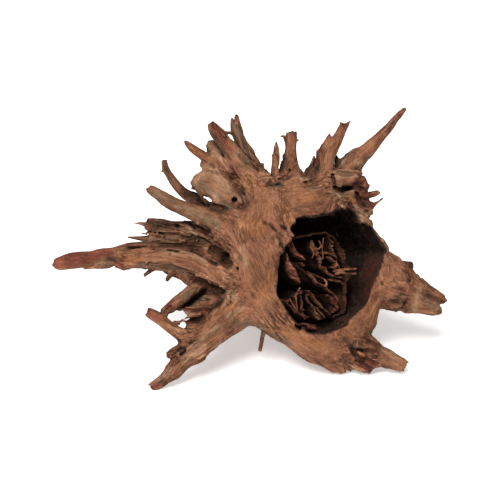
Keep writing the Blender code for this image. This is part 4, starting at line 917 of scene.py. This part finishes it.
def fill_touching_corners(solid):
    """Fills the empty corners where the wood would touch itself only along an edge or at a point.

    On every square of four neighbours that has just two opposite corners in the wood, all four
    are filled. So is every cube with only two opposite corners in the wood, or only two out of it.
    """
    for _ in range(8):
        changed = 0
        for first, second in ((0, 1), (0, 2), (1, 2)):
            def part(i, j):
                """The grid on the near or far side along each of the two axes."""
                cut = [slice(None)] * 3
                cut[first] = slice(1, None) if i else slice(None, -1)
                cut[second] = slice(1, None) if j else slice(None, -1)
                return tuple(cut)
            a, b, c, d = (solid[part(i, j)] for i, j in ((0, 0), (1, 1), (0, 1), (1, 0)))
            cross = (a & b & ~c & ~d) | (c & d & ~a & ~b)
            changed += int(cross.sum())
            for i, j in ((0, 0), (1, 1), (0, 1), (1, 0)):
                solid[part(i, j)] |= cross
        full = sum(solid[cut].astype(np.int8) for cut in CORNERS)
        for n in range(4):
            one, other = solid[CORNERS[n]], solid[CORNERS[7 - n]]
            lone = (one & other & (full == 2)) | (~one & ~other & (full == 6))
            changed += int(lone.sum())
            for cut in CORNERS:
                solid[cut] |= lone
        if not changed:
            break
    return solid


def surface_of(field):
    """A closed surface of four-sided faces where the distance crosses zero.

    Each grid cell that the surface passes through gets one vertex, at the mean of the places where
    its twelve edges are crossed. Each crossed edge gets a face of its four cells' vertices.
    """
    solid = fill_touching_corners(field.distance < 0)
    value = np.where(solid, np.minimum(field.distance, -0.02), np.maximum(field.distance, 0.02))
    full = sum(solid[cut].astype(np.int8) for cut in CORNERS)
    cells = np.argwhere((full > 0) & (full < 8))
    number = np.full(full.shape, -1, np.int32)
    number[tuple(cells.T)] = np.arange(len(cells))
    offsets = np.array([[n >> axis & 1 for axis in range(3)] for n in range(8)])
    corner = np.stack([value[tuple((cells + o).T)] for o in offsets], 1)
    places = np.zeros((len(cells), 3))
    count = np.zeros(len(cells))
    for n, m in ((n, n | 1 << axis) for n in range(8) for axis in range(3) if not n >> axis & 1):
        a, b = corner[:, n], corner[:, m]
        crossed = (a < 0) != (b < 0)
        t = np.where(crossed, a / np.where(crossed, a - b, 1), 0)
        point = offsets[n] + t[:, None] * (offsets[m] - offsets[n])
        places += np.where(crossed[:, None], point, 0)
        count += crossed
    places = (cells + places / count[:, None]) * field.cell + field.low
    faces = []
    for axis in range(3):
        u, v = (axis + 1) % 3, (axis + 2) % 3
        near, far = [slice(1, -1)] * 3, [slice(1, -1)] * 3
        near[axis], far[axis] = slice(0, -1), slice(1, None)
        a, b = solid[tuple(near)], solid[tuple(far)]
        edges = np.argwhere(a != b)
        leaving = a[tuple(edges.T)]
        edges[:, [u, v]] += 1
        ring = []
        for du, dv in ((1, 1), (0, 1), (0, 0), (1, 0)):
            cell = edges.copy()
            cell[:, u] -= du
            cell[:, v] -= dv
            ring.append(number[tuple(cell.T)])
        ring = np.stack(ring, 1)
        faces.append(np.where(leaving[:, None], ring, ring[:, ::-1]))
    return places, np.vstack(faces)


def main_shell(points, faces, least=400):
    """Drops the crumbs: what isn't joined to a shell of at least so many points.

    Each point takes the lowest number among the points of its faces until nothing changes, so
    that every shell ends up with one number.
    """
    label = np.arange(len(points))
    while True:
        lower = label.copy()
        np.minimum.at(lower, faces.ravel(), np.repeat(label[faces].min(1), faces.shape[1]))
        lower = lower[lower[lower]]
        if (lower == label).all():
            break
        label = lower
    keep = np.bincount(label, minlength=len(points))[label] >= least
    number = np.cumsum(keep) - 1
    return points[keep], number[faces[keep[faces[:, 0]]]]


def new_piece(name, places, faces, material):
    """An object with a smooth-shaded mesh of world points, at the origin."""
    mesh = bpy.data.meshes.new(name)
    mesh.from_pydata(places, [], faces.tolist())
    mesh.shade_smooth()
    mesh.materials.append(material)
    piece = bpy.data.objects.new(name, mesh)
    bpy.context.scene.collection.objects.link(piece)
    return piece


def thin_out(piece, triangles):
    """Collapses the least needed edges until so many triangles are left."""
    count = sum(len(p.vertices) - 2 for p in piece.data.polygons)
    thin = piece.modifiers.new("thin_out", "DECIMATE")
    thin.ratio = min(1.0, triangles / count)
    thin.use_collapse_triangulate = True
    graph = bpy.context.evaluated_depsgraph_get()
    mesh = bpy.data.meshes.new_from_object(piece.evaluated_get(graph))
    piece.modifiers.clear()
    piece.data = mesh
    mesh.shade_smooth()


def mesh_points(mesh):
    """The mesh's points and its normals there, in world metres."""
    places = np.empty(len(mesh.vertices) * 3)
    mesh.vertices.foreach_get("co", places)
    normals = np.empty(len(mesh.vertices) * 3)
    mesh.vertex_normals.foreach_get("vector", normals)
    return places.reshape(-1, 3), normals.reshape(-1, 3)


def keep_value(mesh, name, values):
    """Stores a number or a vector for each point of the mesh."""
    vector = values.ndim > 1
    layer = mesh.attributes.new(name, "FLOAT_VECTOR" if vector else "FLOAT", "POINT")
    layer.data.foreach_set("vector" if vector else "value", values.astype(np.float32).ravel())


def keep_fibres(mesh, places, points, grain):
    """Stores which way the fibres run: a step of 1 mm along them, in world coordinates."""
    keep_value(mesh, "fibre", upright(points + grain.at(points)) / MM - places / MM)


def openness(field, places, normals, reach):
    """How clear of wood it is at reach millimetres off each point: the distance there over reach."""
    return np.clip(field.sample(field.distance, in_view(places + normals * reach * MM)) / reach, 0, 1)


def painted(points, strokes, front, noise):
    """How much of a tint each point has: 1 on a stroke's line, fading out past its reach.

    Only what can be seen from the front takes it. The strokes' edges are made ragged by moving the
    points a little with slow noise.
    """
    across = points[:, 0] + 1.2 * noise.at(points, 5.0) + 0.8 * noise.at(points + 9.0, 2.4)
    up = points[:, 1] + 1.2 * noise.at(points + 21.0, 5.0) + 0.8 * noise.at(points + 33.0, 2.4)
    tint = np.zeros(len(points))
    for stroke in strokes:
        line = np.array([(x, y, 0.0, reach) for x, y, reach in stroke])
        if len(line) > 1:
            line = smooth_route(line, 1.5)
        pad = line[:, 3].max() * 1.7
        near = ((across > line[:, 0].min() - pad) & (across < line[:, 0].max() + pad)
                & (up > line[:, 1].min() - pad) & (up < line[:, 1].max() + pad)).nonzero()[0]
        away = np.hypot(across[near, None] - line[:, 0], up[near, None] - line[:, 1]) / line[:, 3]
        tint[near] = np.maximum(tint[near], np.exp(-away.min(1, initial=9.0) ** 3))
    return tint * ease(points[:, 2] - front.at(points[:, 0], points[:, 1]), -15.0, -9.0)


def roughen(field, grain, noise, front):
    """Weathers the surface, by a height that is taken off the distances near it.

    The height is the sum of broad lumps, of crests and furrows along the grain, and of ridges and
    finer ridges, less cracks and pits. A crest lies where a noise along the grain passes through
    zero, so it is sharp, and a furrow is the same turned over. Thin roots and wood that has worn
    smooth get less of each.
    """
    near = np.abs(field.distance) < 5.0
    points = (np.argwhere(near) * field.cell + field.low).astype(np.float32)
    fibres = grain.at(points).astype(np.float32)
    size = 0.85 * np.clip(field.girth[near] / 12.0, 0.25, 1.0)
    lumps = 1.8 * noise.at(points, 23.0) + 1.0 * noise.at(points + 60.0, 9.0)
    crests = 0.3 - np.abs(noise.along(points, fibres, 9.0))
    furrows = np.abs(noise.along(points + 43.0, fibres, 6.0)) - 0.3
    ridges = noise.along(points, fibres, 3.6)
    fine = noise.along(points + 31.0, fibres, 2.1, 9)
    seam = noise.along(points + 17.0, fibres, 7.0)
    cracks = np.exp(-((seam / 0.10) ** 2)) * ease(noise.at(points + 90.0, 19.0), -0.1, 0.5)
    pits = ease(noise.at(points + 7.0, 3.4), 0.45, 0.8) * ease(noise.at(points + 3.0, 17.0), -0.1, 0.4)
    size *= 1.0 - 0.84 * painted(points, CALM, front, noise)
    height = size * (lumps + 3.0 * crests + 2.8 * furrows + 1.5 * ridges - 2.4 * cracks)
    height += (0.25 + 0.45 * size) * fine - 0.9 * pits * size
    field.distance[near] -= height.astype(np.float32)


def strands():
    """The routes of the loose strands and of the furrows between them, and which of the two each is.

    Each lies at a random place between its bed's guide lines, over a random part of their length,
    and waves to and fro. Its radius swells from the tips as the square root of a sine.
    """
    rng = np.random.default_rng(5)
    for first, second, strand_count, furrow_count, thickness in STRAND_BEDS:
        places = np.linspace(0, 1, 40)
        lines = [smooth_route([(x, y, 0.0) for x, y in line], 2.0) for line in (first, second)]
        lines = [np.stack([np.interp(places, np.linspace(0, 1, len(line)), line[:, i])
                           for i in range(3)], 1) for line in lines]
        for n in range(strand_count + furrow_count):
            start = rng.uniform(0, 0.7)
            t = np.linspace(start, min(1.0, start + rng.uniform(0.2, 0.6)), 16)
            share = rng.uniform(0, 1) + 0.08 * np.sin(rng.uniform(3, 9) * t + rng.uniform(0, 6))
            near, far = (np.stack([np.interp(t, places, line[:, i]) for i in range(3)], 1)
                         for line in lines)
            route = near + share[:, None] * (far - near)
            route[:, 2] = rng.uniform(-0.3, 0.7) + 0.5 * np.sin(rng.uniform(4, 12) * t)
            swell = np.sqrt(np.sin(np.linspace(0.12, math.pi - 0.12, 16)))
            strand = n < strand_count
            radius = thickness * rng.uniform(0.6, 1.3) * swell * (1.0 if strand else 0.8)
            yield np.column_stack([route, radius]), strand


def make_crown_field():
    """The whole crown: trunk, swellings and roots joined, then hollowed and carved.

    A strand or a shred is a tube that is joined to the surface, and a furrow or a carving is one
    that is taken out. A carving that lies deep is cut in layers from its depth up to the surface,
    so that it stays open. The holes go right through.
    """
    field = Field(FIELD_LOW, FIELD_HIGH, CELL)
    noise = Lattice(3)
    cut, trunk, hollow = trunk_and_hollow(field)
    field.add(cut, trunk, THICK, 7.0)
    for centre, half_sizes in SWELLINGS:
        cut_egg, distance = field.egg(centre, half_sizes)
        field.add(cut_egg, distance, THICK, 9.0)
    for points in ROOTS.values():
        route = smooth_route(points)
        cut_root, distance, girth = field.root(route, noise)
        field.add(cut_root, distance, girth, np.clip(girth * 0.45, 1.2, 7.0))
    field.take_out(cut, hollow, 1.2)
    front = Front(field)
    for route, strand in strands():
        route = front.lay(route, 1.0)
        if route is not None:
            cut, distance, girth = field.tube(route, 4.0)
            if strand:
                field.add(cut, distance, girth + 1.5, 0.9)
            else:
                field.take_out(cut, distance, 0.9)
    for points in SHREDS.values():
        cut, distance, girth = field.tube(front.lay(smooth_route(points, 2.0), 1.0), 4.0)
        field.add(cut, distance, girth + 1.5, 1.6)
    for points in CARVINGS.values():
        route = smooth_route(points, 1.5)
        layers = 1 + max(0, math.ceil((route[:, 2] / route[:, 3]).max() - 0.6))
        for share in np.linspace(1, 0, layers):
            cut, distance, _ = field.tube(front.lay(route * (1, 1, share, 1), -1.0), 4.0)
            field.take_out(cut, distance, 0.8)
    for points in HOLES.values():
        cut, distance, _ = field.tube(smooth_route(points), 6.0)
        field.take_out(cut, distance, 1.0)
    return field


def stand_on_ground(field):
    """Cuts the feet flat: the distance is at least the depth below the ground."""
    _, y, z = field.grid()
    near = 1.0 - z / VIEWER_DISTANCE
    height = y * near * math.cos(LOOK_DOWN) + z * math.sin(LOOK_DOWN) + SEAT_DEPTH
    field.distance = np.maximum(field.distance, -height).astype(np.float32)


def make_wood(field, front, grain, material):
    """The crown as one surface, with its fibre directions and tints kept on its points.

    What lies within the hollow's outline, with some to spare where the surface faces its axis, is the wall of
    the hollow. Painted shade darkens it from the mouth inwards, except where it is painted pale, and painted
    shade darkens the creases.
    """
    smooth = field.distance.copy()
    noise = Lattice(11)
    roughen(field, grain, noise, front)
    stand_on_ground(field)
    points, faces = main_shell(*surface_of(field))
    wood = new_piece("wood", upright(points), faces, material)
    thin_out(wood, TRIANGLES)
    places, normals = mesh_points(wood.data)
    points = in_view(places)
    keep_fibres(wood.data, places, points, grain)
    keep_value(wood.data, "ridge", field.sample(smooth, points))
    # Painted shade for creases: how shut in by wood each point is, from how clear it is 4 and 11 mm off the
    # surface.
    open_near, open_far = (openness(field, places, normals, reach) for reach in (4, 11))
    keep_value(wood.data, "crevice", 1 - open_near * 0.5 - open_far * 0.5)
    share, out, angle = hollow_place(*points.T)
    past_rim = out - mouth_radius(angle) * np.interp(share, *zip(*HOLLOW_PROFILE))
    facing = in_view(places + normals * MM) - points
    inward = -(np.cos(angle) * (facing @ SIDEWAYS) + np.sin(angle) * facing[:, 1])
    spare = (0.8 + 2.8 * ease(share, -0.06, 0.06)) * ease(inward, 0.15, 0.5)
    inside = 1 - ease(past_rim - spare, 0.3, 1.0)
    tints = {tint: painted(points, strokes, front, noise) for tint, strokes in STAINS_AND_SHADE.items()}
    for tint, values in tints.items():
        keep_value(wood.data, tint, values)
    # Painted shade that darkens the hollow's wall from the mouth inwards, kept off where the wood is painted
    # pale.
    inside *= 1 - tints["pale"]
    keep_value(wood.data, "cave", inside * (0.93 * ease(share, -0.4, -0.25) + 0.07 * ease(share, 0, 0.4)))
    keep_value(wood.data, "calm", painted(points, CALM, front, noise))
    return wood


MAP_SIDE, MAP_UP = 80, 90  # how far the fins' maps reach from the hollow's axis, in millimetres


def fin_map(edge):
    """How far each place across the hollow is from a fin's front edge, and the edge's depth there.

    The place is (sideways, up) on a grid of 1 mm. The third value is the fin's thickness there.
    """
    route = smooth_route(edge, 1.5)
    line = route[:, :3] - MOUTH_CENTRE
    side, up = np.meshgrid(np.arange(-MAP_SIDE, MAP_SIDE), np.arange(-MAP_UP, MAP_UP), indexing="ij")
    away = np.hypot(side[..., None] - line @ SIDEWAYS, up[..., None] - line[:, 1])
    nearest = away.argmin(-1)
    return np.stack([away.min(-1), (line @ INWARD)[nearest], route[nearest, 3]], -1).astype(np.float32)


def read_map(values, side, up):
    """A map's values at places between its grid points."""
    side = np.clip(side + MAP_SIDE, 0, 2 * MAP_SIDE - 1.01)
    up = np.clip(up + MAP_UP, 0, 2 * MAP_UP - 1.01)
    i, j = side.astype(int), up.astype(int)
    s, t = (side - i)[:, None], (up - j)[:, None]
    return ((values[i, j] * (1 - s) + values[i + 1, j] * s) * (1 - t)
            + (values[i, j + 1] * (1 - s) + values[i + 1, j + 1] * s) * t)


def make_heartwood(front, grain, material):
    """The fins in the hollow: sheets behind their front edges, rippled and split along the grain.

    Across the hollow, each is the distance to its front edge's line less half its thickness, which
    grows behind the edge. Its front is cut off at the edge, made ragged by noise. Before that,
    every point is moved a few millimetres by slow noise, which ripples the sheets. Behind the edge
    there are holes where a noise along the grain is high. The strings are thin tubes.
    """
    field = Field((18, -112, -75), (142, 52, 52), FIN_CELL)
    x, y, z = np.broadcast_arrays(*field.grid())
    share, out, angle = hollow_place(x, y, z)
    width = mouth_radius(angle) * np.interp(share, *zip(*HOLLOW_PROFILE)) + 3.0
    within = (out < width) & (share > -0.25) & (share < 0.98)
    points = np.stack([x[within], y[within], z[within]], 1)
    ripple = [Lattice(seed) for seed in (21, 22, 23)]
    waves = [1.8 * r.at(points, 13.0) + 1.0 * r.at(points, 5.0) + 0.5 * r.at(points, 2.6)
             for r in ripple]
    moved = points + np.stack(waves, 1)
    offset = moved - MOUTH_CENTRE
    depth, side, up = offset @ INWARD, offset @ SIDEWAYS, offset[:, 1]
    torn = 2.0 * ripple[0].at(points + 50.0, 6.0) + 1.4 * ripple[1].at(points + 50.0, 2.8)
    nearest = np.full(len(points), FAR)
    behind = np.zeros(len(points))
    for edge in FINS.values():
        away, front_edge, thickness = read_map(fin_map(edge), side, up).T
        past = depth - front_edge + torn
        half = 0.3 + thickness * (0.17 + 0.3 * ease(past, 0.0, 6.0)) + 0.006 * np.clip(past, 0, 60)
        sheet = np.maximum(away - half, -past)
        behind = np.where(sheet < nearest, past, behind)
        nearest = np.minimum(nearest, sheet)
    holes = 5.0 * (ripple[2].along(points, grain.at(points), 5.0, 9) - 0.62)
    tear = 0.25 * ripple[0].along(points, grain.at(points), 2.2, 7)
    nearest = np.maximum(nearest + tear, np.minimum(holes, behind - 2.0))
    field.distance[within] = np.maximum(nearest, (out - width)[within])
    field.girth[within] = behind
    for points in STRINGS:
        cut, distance, _ = field.tube(smooth_route(points, 3.0))
        field.distance[cut] = soft_min(field.distance[cut], distance, 0.8)
        field.girth[cut] = np.where(distance < 0.8, 0.0, field.girth[cut])
    points, faces = main_shell(*surface_of(field))
    fins = new_piece("heartwood", upright(points), faces, material)
    thin_out(fins, FIN_TRIANGLES)
    places, normals = mesh_points(fins.data)
    points = in_view(places)
    keep_fibres(fins.data, places, points, grain)
    # Painted shade for the fins' creases, from how clear of wood it is 3 mm off the surface.
    keep_value(fins.data, "crevice", 1 - openness(field, places, normals, 3))
    # Painted shade on the fins: it turns them black over the first 11 mm behind their front edges, and
    # darkens some front edges too.
    dim = 0.8 * painted(points, SHADED_FIN_EDGES, front, ripple[0])
    keep_value(fins.data, "cave", np.maximum(ease(field.sample(field.girth, points), 0.0, 11.0), dim))
    keep_value(fins.data, "red", painted(points, RED_PLATES, front, ripple[0]))
    return fins


class Nodes:
    """Adds nodes to one node tree. A value that is a socket is linked, and any other is set."""

    def __init__(self, tree):
        self.tree = tree

    def add(self, kind, inputs=None, output=0, **settings):
        """A node of this kind, by its socket names or numbers, and the output asked for."""
        node = self.tree.nodes.new(kind)
        for name, value in settings.items():
            setattr(node, name, value)
        for key, value in (inputs or {}).items():
            self.join(node.inputs[key], value)
        return node.outputs[output]

    def join(self, socket, value):
        """Links or sets one input."""
        if isinstance(value, bpy.types.NodeSocket):
            self.tree.links.new(value, socket)
        else:
            socket.default_value = value

    def maths(self, operation, *values, clamp=False):
        """One operation on values or sockets."""
        return self.add("ShaderNodeMath", dict(enumerate(values)), operation=operation,
                        use_clamp=clamp)

    def mix(self, factor, a, b, blend="MIX"):
        """Two colours mixed by a factor."""
        return self.add("ShaderNodeMix", {0: factor, 6: a, 7: b}, output=2, data_type="RGBA",
                        blend_type=blend, clamp_factor=True)

    def ramp(self, value, stops):
        """A colour ramp through (place, colour) stops."""
        node = self.tree.nodes.new("ShaderNodeValToRGB")
        elements = node.color_ramp.elements
        while len(elements) < len(stops):
            elements.new(0.5)
        for element, (place, colour) in zip(elements, stops):
            element.position, element.color = place, (*colour, 1.0)
        self.join(node.inputs[0], value)
        return node.outputs[0]

    def value_of(self, attribute):
        """A number that is kept on the mesh's points."""
        return self.add("ShaderNodeAttribute", output="Fac", attribute_name=attribute)


def fibre_group():
    """Node group: fibres seen on the surface, from 0 to 1, and cracks between them.

    A noise is read at thirteen places along the fibre through the point, 0.45 of the noise's own
    size apart, and their mean is spread out about a half. So it is streaked along the fibre,
    however that bends. A crack lies where the mean passes through its middle value.
    """
    group = bpy.data.node_groups.new("fibres", "ShaderNodeTree")
    for name, default in (("Fineness", 300.0), ("Contrast", 2.6)):
        group.interface.new_socket(name, in_out="INPUT", socket_type="NodeSocketFloat"
                                   ).default_value = default
    for name in ("Streaks", "Cracks"):
        group.interface.new_socket(name, in_out="OUTPUT", socket_type="NodeSocketFloat")
    nodes = Nodes(group)
    given = group.nodes.new("NodeGroupInput")
    fineness, contrast = given.outputs[:2]
    place = nodes.add("ShaderNodeTexCoord", output="Object")
    fibre = nodes.add("ShaderNodeAttribute", output="Vector", attribute_name="fibre")
    step = nodes.maths("DIVIDE", 0.45, fineness)
    far = nodes.add("ShaderNodeVectorMath", {0: fibre, "Scale": step}, operation="SCALE")
    total = None
    taps = range(-6, 7)
    for tap in taps:
        spot = nodes.add("ShaderNodeVectorMath", {0: far, 1: (tap,) * 3, 2: place},
                         operation="MULTIPLY_ADD")
        noise = nodes.add("ShaderNodeTexNoise", {"Vector": spot, "Scale": fineness, "Detail": 0.0})
        total = noise if total is None else nodes.maths("ADD", total, noise)
    mean = nodes.maths("MULTIPLY_ADD", total, 1 / len(taps), -0.5)
    streaks = nodes.maths("MULTIPLY_ADD", mean, contrast, 0.5, clamp=True)
    off = nodes.maths("MULTIPLY", nodes.maths("ABSOLUTE", mean), contrast)
    cracks = nodes.maths("SUBTRACT", 1.0, nodes.maths("MULTIPLY", off, 8.0), clamp=True)
    out = group.nodes.new("NodeGroupOutput")
    group.links.new(streaks, out.inputs[0])
    group.links.new(cracks, out.inputs[1])
    return group


def fibres(nodes, group, fineness, contrast):
    """The fibre group placed in a material: its streaks and its cracks."""
    node = nodes.tree.nodes.new("ShaderNodeGroup")
    node.node_tree = group
    for value, socket in zip((fineness, contrast), node.inputs):
        socket.default_value = value
    return node.outputs[0], node.outputs[1]


def new_material(name):
    """A material, its nodes and its main shader."""
    material = bpy.data.materials.new(name)
    material.use_nodes = True
    return material, Nodes(material.node_tree), material.node_tree.nodes["Principled BSDF"]


def wood_material(group):
    """Sun-browned wood: fibres of tan and dark brown, with worn ridges, red and grey stains, and painted
    shade in creases, gaps and the hollow.
    """
    material, nodes, shader = new_material("weathered_wood")
    place = nodes.add("ShaderNodeTexCoord", output="Object")
    coarse, cracks = fibres(nodes, group, 150.0, 4.6)
    middle, seams = fibres(nodes, group, 380.0, 4.6)
    fine, _ = fibres(nodes, group, 850.0, 4.6)
    blotch = nodes.add("ShaderNodeTexNoise", {"Vector": place, "Scale": 38.0, "Detail": 4.0,
                                              "Roughness": 0.6})
    speck = nodes.add("ShaderNodeTexNoise", {"Vector": place, "Scale": 340.0, "Detail": 5.0,
                                             "Roughness": 0.85})
    warm = nodes.add("ShaderNodeTexNoise", {"Vector": place, "Scale": 75.0, "Detail": 3.0,
                                            "Roughness": 0.6, "Distortion": 0.6})
    rough = nodes.maths("MULTIPLY_ADD", nodes.value_of("calm"), -0.55, 1.0)
    streaks = nodes.maths("MULTIPLY_ADD", coarse, 0.12, -0.35)
    streaks = nodes.maths("MULTIPLY_ADD", middle, 0.27, streaks)
    streaks = nodes.maths("MULTIPLY_ADD", fine, 0.31, streaks)
    tone = nodes.maths("MULTIPLY_ADD", nodes.value_of("ridge"), 0.05, -0.085)
    tone = nodes.maths("MULTIPLY_ADD", streaks, rough, tone)
    for value, weight in ((blotch, 0.60), (speck, 0.54)):
        tone = nodes.maths("MULTIPLY_ADD", value, weight, tone)
    tone = nodes.maths("ADD", tone, 0.0, clamp=True)
    reddish = nodes.maths("MULTIPLY_ADD", warm, 3.2, -1.65, clamp=True)
    reddish = nodes.maths("MULTIPLY", reddish, 0.55)
    red_amount = nodes.maths("MAXIMUM", nodes.value_of("red"), reddish)
    colour = nodes.mix(red_amount, nodes.ramp(tone, BROWN), nodes.ramp(tone, RED))
    greyish = nodes.maths("MULTIPLY_ADD", warm, -3.4, 1.45, clamp=True)
    grey_amount = nodes.maths("MAXIMUM", nodes.value_of("grey"), greyish)
    for amount, stops in ((grey_amount, GREY), (nodes.value_of("orange"), ORANGE),
                          (nodes.value_of("pale"), PALE)):
        colour = nodes.mix(nodes.maths("MULTIPLY", amount, 0.7), colour, nodes.ramp(tone, stops))
    # The dark strokes: real cracks and spots, and painted shade in gaps and hollows.
    colour = nodes.mix(nodes.maths("MULTIPLY", nodes.value_of("dark"), 0.72), colour, DARK_MARK_AND_SHADE_COLOUR)
    where = nodes.maths("MULTIPLY_ADD", blotch, -7.0, 3.9, clamp=True)
    dark_line = nodes.maths("MULTIPLY", cracks, where)
    dark_line = nodes.maths("MAXIMUM", dark_line, nodes.maths("MULTIPLY", seams, 0.25))
    dark_line = nodes.maths("MULTIPLY", dark_line, rough)
    colour = nodes.mix(nodes.maths("MULTIPLY", dark_line, 0.75), colour, CRACK_COLOUR)
    # Painted shade in creases and nooks, darkest where wood shuts the point in.
    shade = nodes.maths("POWER", nodes.value_of("crevice"), 1.25)
    colour = nodes.mix(nodes.maths("MULTIPLY", shade, 0.95), colour, CREVICE_SHADE_COLOUR)
    # Painted shade in the hollow, a little lighter where the wood is red.
    cave = nodes.maths("MULTIPLY_ADD", nodes.value_of("red"), -0.24, 0.97)
    cave = nodes.maths("MULTIPLY", nodes.value_of("cave"), cave)
    colour = nodes.mix(cave, colour, HOLLOW_SHADE_COLOUR)
    nodes.join(shader.inputs["Base Color"], colour)
    nodes.join(shader.inputs["Roughness"], nodes.maths("MULTIPLY_ADD", tone, -0.2, 0.95))
    shader.inputs["Specular IOR Level"].default_value = 0.15
    height = nodes.maths("MULTIPLY", streaks, rough)
    height = nodes.maths("MULTIPLY_ADD", speck, 0.45, height)
    height = nodes.maths("MULTIPLY_ADD", dark_line, -0.7, height)
    bump = nodes.add("ShaderNodeBump", {"Height": height, "Strength": 1.0, "Distance": 0.0024})
    nodes.join(shader.inputs["Normal"], bump)
    return material


def heartwood_material(group):
    """Red-brown heartwood, stringy, with painted shade that leaves its front edges pale and turns it black
    behind them and in its creases.
    """
    material, nodes, shader = new_material("red_heartwood")
    place = nodes.add("ShaderNodeTexCoord", output="Object")
    coarse, _ = fibres(nodes, group, 260.0, 5.5)
    fine, _ = fibres(nodes, group, 800.0, 5.0)
    blotch = nodes.add("ShaderNodeTexNoise", {"Vector": place, "Scale": 70.0, "Detail": 3.0})
    tone = nodes.maths("MULTIPLY_ADD", fine, 0.35, nodes.maths("MULTIPLY", coarse, 0.45))
    tone = nodes.maths("MULTIPLY_ADD", blotch, 0.9, nodes.maths("SUBTRACT", tone, 0.37))
    colour = nodes.mix(nodes.value_of("red"), nodes.ramp(tone, WORN_HEARTWOOD),
                       nodes.ramp(tone, RED_HEARTWOOD))
    # Painted shade in the fins' creases.
    shade = nodes.maths("MULTIPLY", nodes.value_of("crevice"), 0.6)
    colour = nodes.mix(shade, colour, FIN_CREVICE_SHADE_COLOUR)
    # Painted shade behind the fins' front edges, lighter on the red plates.
    behind = nodes.maths("MULTIPLY_ADD", nodes.value_of("red"), -0.45, 0.97)
    colour = nodes.mix(nodes.maths("MULTIPLY", nodes.value_of("cave"), behind), colour, FIN_HOLLOW_SHADE_COLOUR)
    nodes.join(shader.inputs["Base Color"], colour)
    nodes.join(shader.inputs["Roughness"], nodes.maths("MULTIPLY_ADD", tone, -0.2, 0.9))
    shader.inputs["Specular IOR Level"].default_value = 0.1
    height = nodes.maths("MULTIPLY_ADD", fine, 0.6, coarse)
    bump = nodes.add("ShaderNodeBump", {"Height": height, "Strength": 1.0, "Distance": 0.0009})
    nodes.join(shader.inputs["Normal"], bump)
    return material


def make_floor():
    """A wide white floor."""
    material, _, shader = new_material("white_floor")
    shader.inputs["Base Color"].default_value = (0.93, 0.93, 0.93, 1.0)
    shader.inputs["Roughness"].default_value = 1.0
    shader.inputs["Specular IOR Level"].default_value = 0.0
    shader.inputs["Emission Color"].default_value = (1.0, 1.0, 1.0, 1.0)
    shader.inputs["Emission Strength"].default_value = 0.4
    corners = np.array([(-9, -9, 0), (9, -9, 0), (9, 9, 0), (-9, 9, 0)], float)
    floor = new_piece("floor", corners - (0, 0, 0.0003), np.array([[0, 1, 2, 3]]), material)
    floor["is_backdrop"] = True


def make_light_and_camera():
    """White surroundings, one broad soft light from above the front, and the viewer's camera."""
    scene = bpy.context.scene
    world = bpy.data.worlds.new("studio")
    scene.world = world
    world.use_nodes = True
    world.node_tree.nodes["Background"].inputs[0].default_value = (1.0, 0.99, 0.97, 1.0)
    world.node_tree.nodes["Background"].inputs[1].default_value = 0.42
    light = bpy.data.lights.new("key", "SUN")
    light.energy = 3.4
    light.angle = math.radians(26)
    lamp = bpy.data.objects.new("key", light)
    lamp.rotation_euler = [math.radians(degrees) for degrees in (40, 4, -24)]
    scene.collection.objects.link(lamp)
    camera = bpy.data.objects.new("camera", bpy.data.cameras.new("camera"))
    camera.data.lens = 115.2
    camera.data.sensor_width = 36.0
    away = np.array([0, -math.cos(LOOK_DOWN), math.sin(LOOK_DOWN)]) * VIEWER_DISTANCE
    camera.location = (np.array([-MIDDLE[0], -MIDDLE[1], SEAT_DEPTH]) + away) * MM
    camera.rotation_euler = (math.pi / 2 - LOOK_DOWN, 0, 0)
    camera.data.clip_start, camera.data.clip_end = 0.01, 100.0
    scene.collection.objects.link(camera)
    scene.camera = camera
    scene.view_settings.view_transform = "Standard"


def main():
    """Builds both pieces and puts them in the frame."""
    make_light_and_camera()
    make_floor()
    routes = [(smooth_route(points), 1.0, 4.0) for points in ROOTS.values()]
    routes += [(smooth_route(points), 0.6, 7.0) for points in GRAIN_GUIDES]
    routes += [(smooth_route(HOLLOW_GRAIN), 0.5, 7.0)]
    grain = Grain(routes)
    group = fibre_group()
    field = make_crown_field()
    front = Front(field)
    wood = make_wood(field, front, grain, wood_material(group))
    heartwood = make_heartwood(front, grain, heartwood_material(group))
    for piece in (wood, heartwood):
        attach(piece, "root")
    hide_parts("driftwood")
    boxes = {"cad": CAD_BOX, "visual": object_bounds()}
    {name: [list(corner) for corner in box] for name, box in boxes.items()}


main()
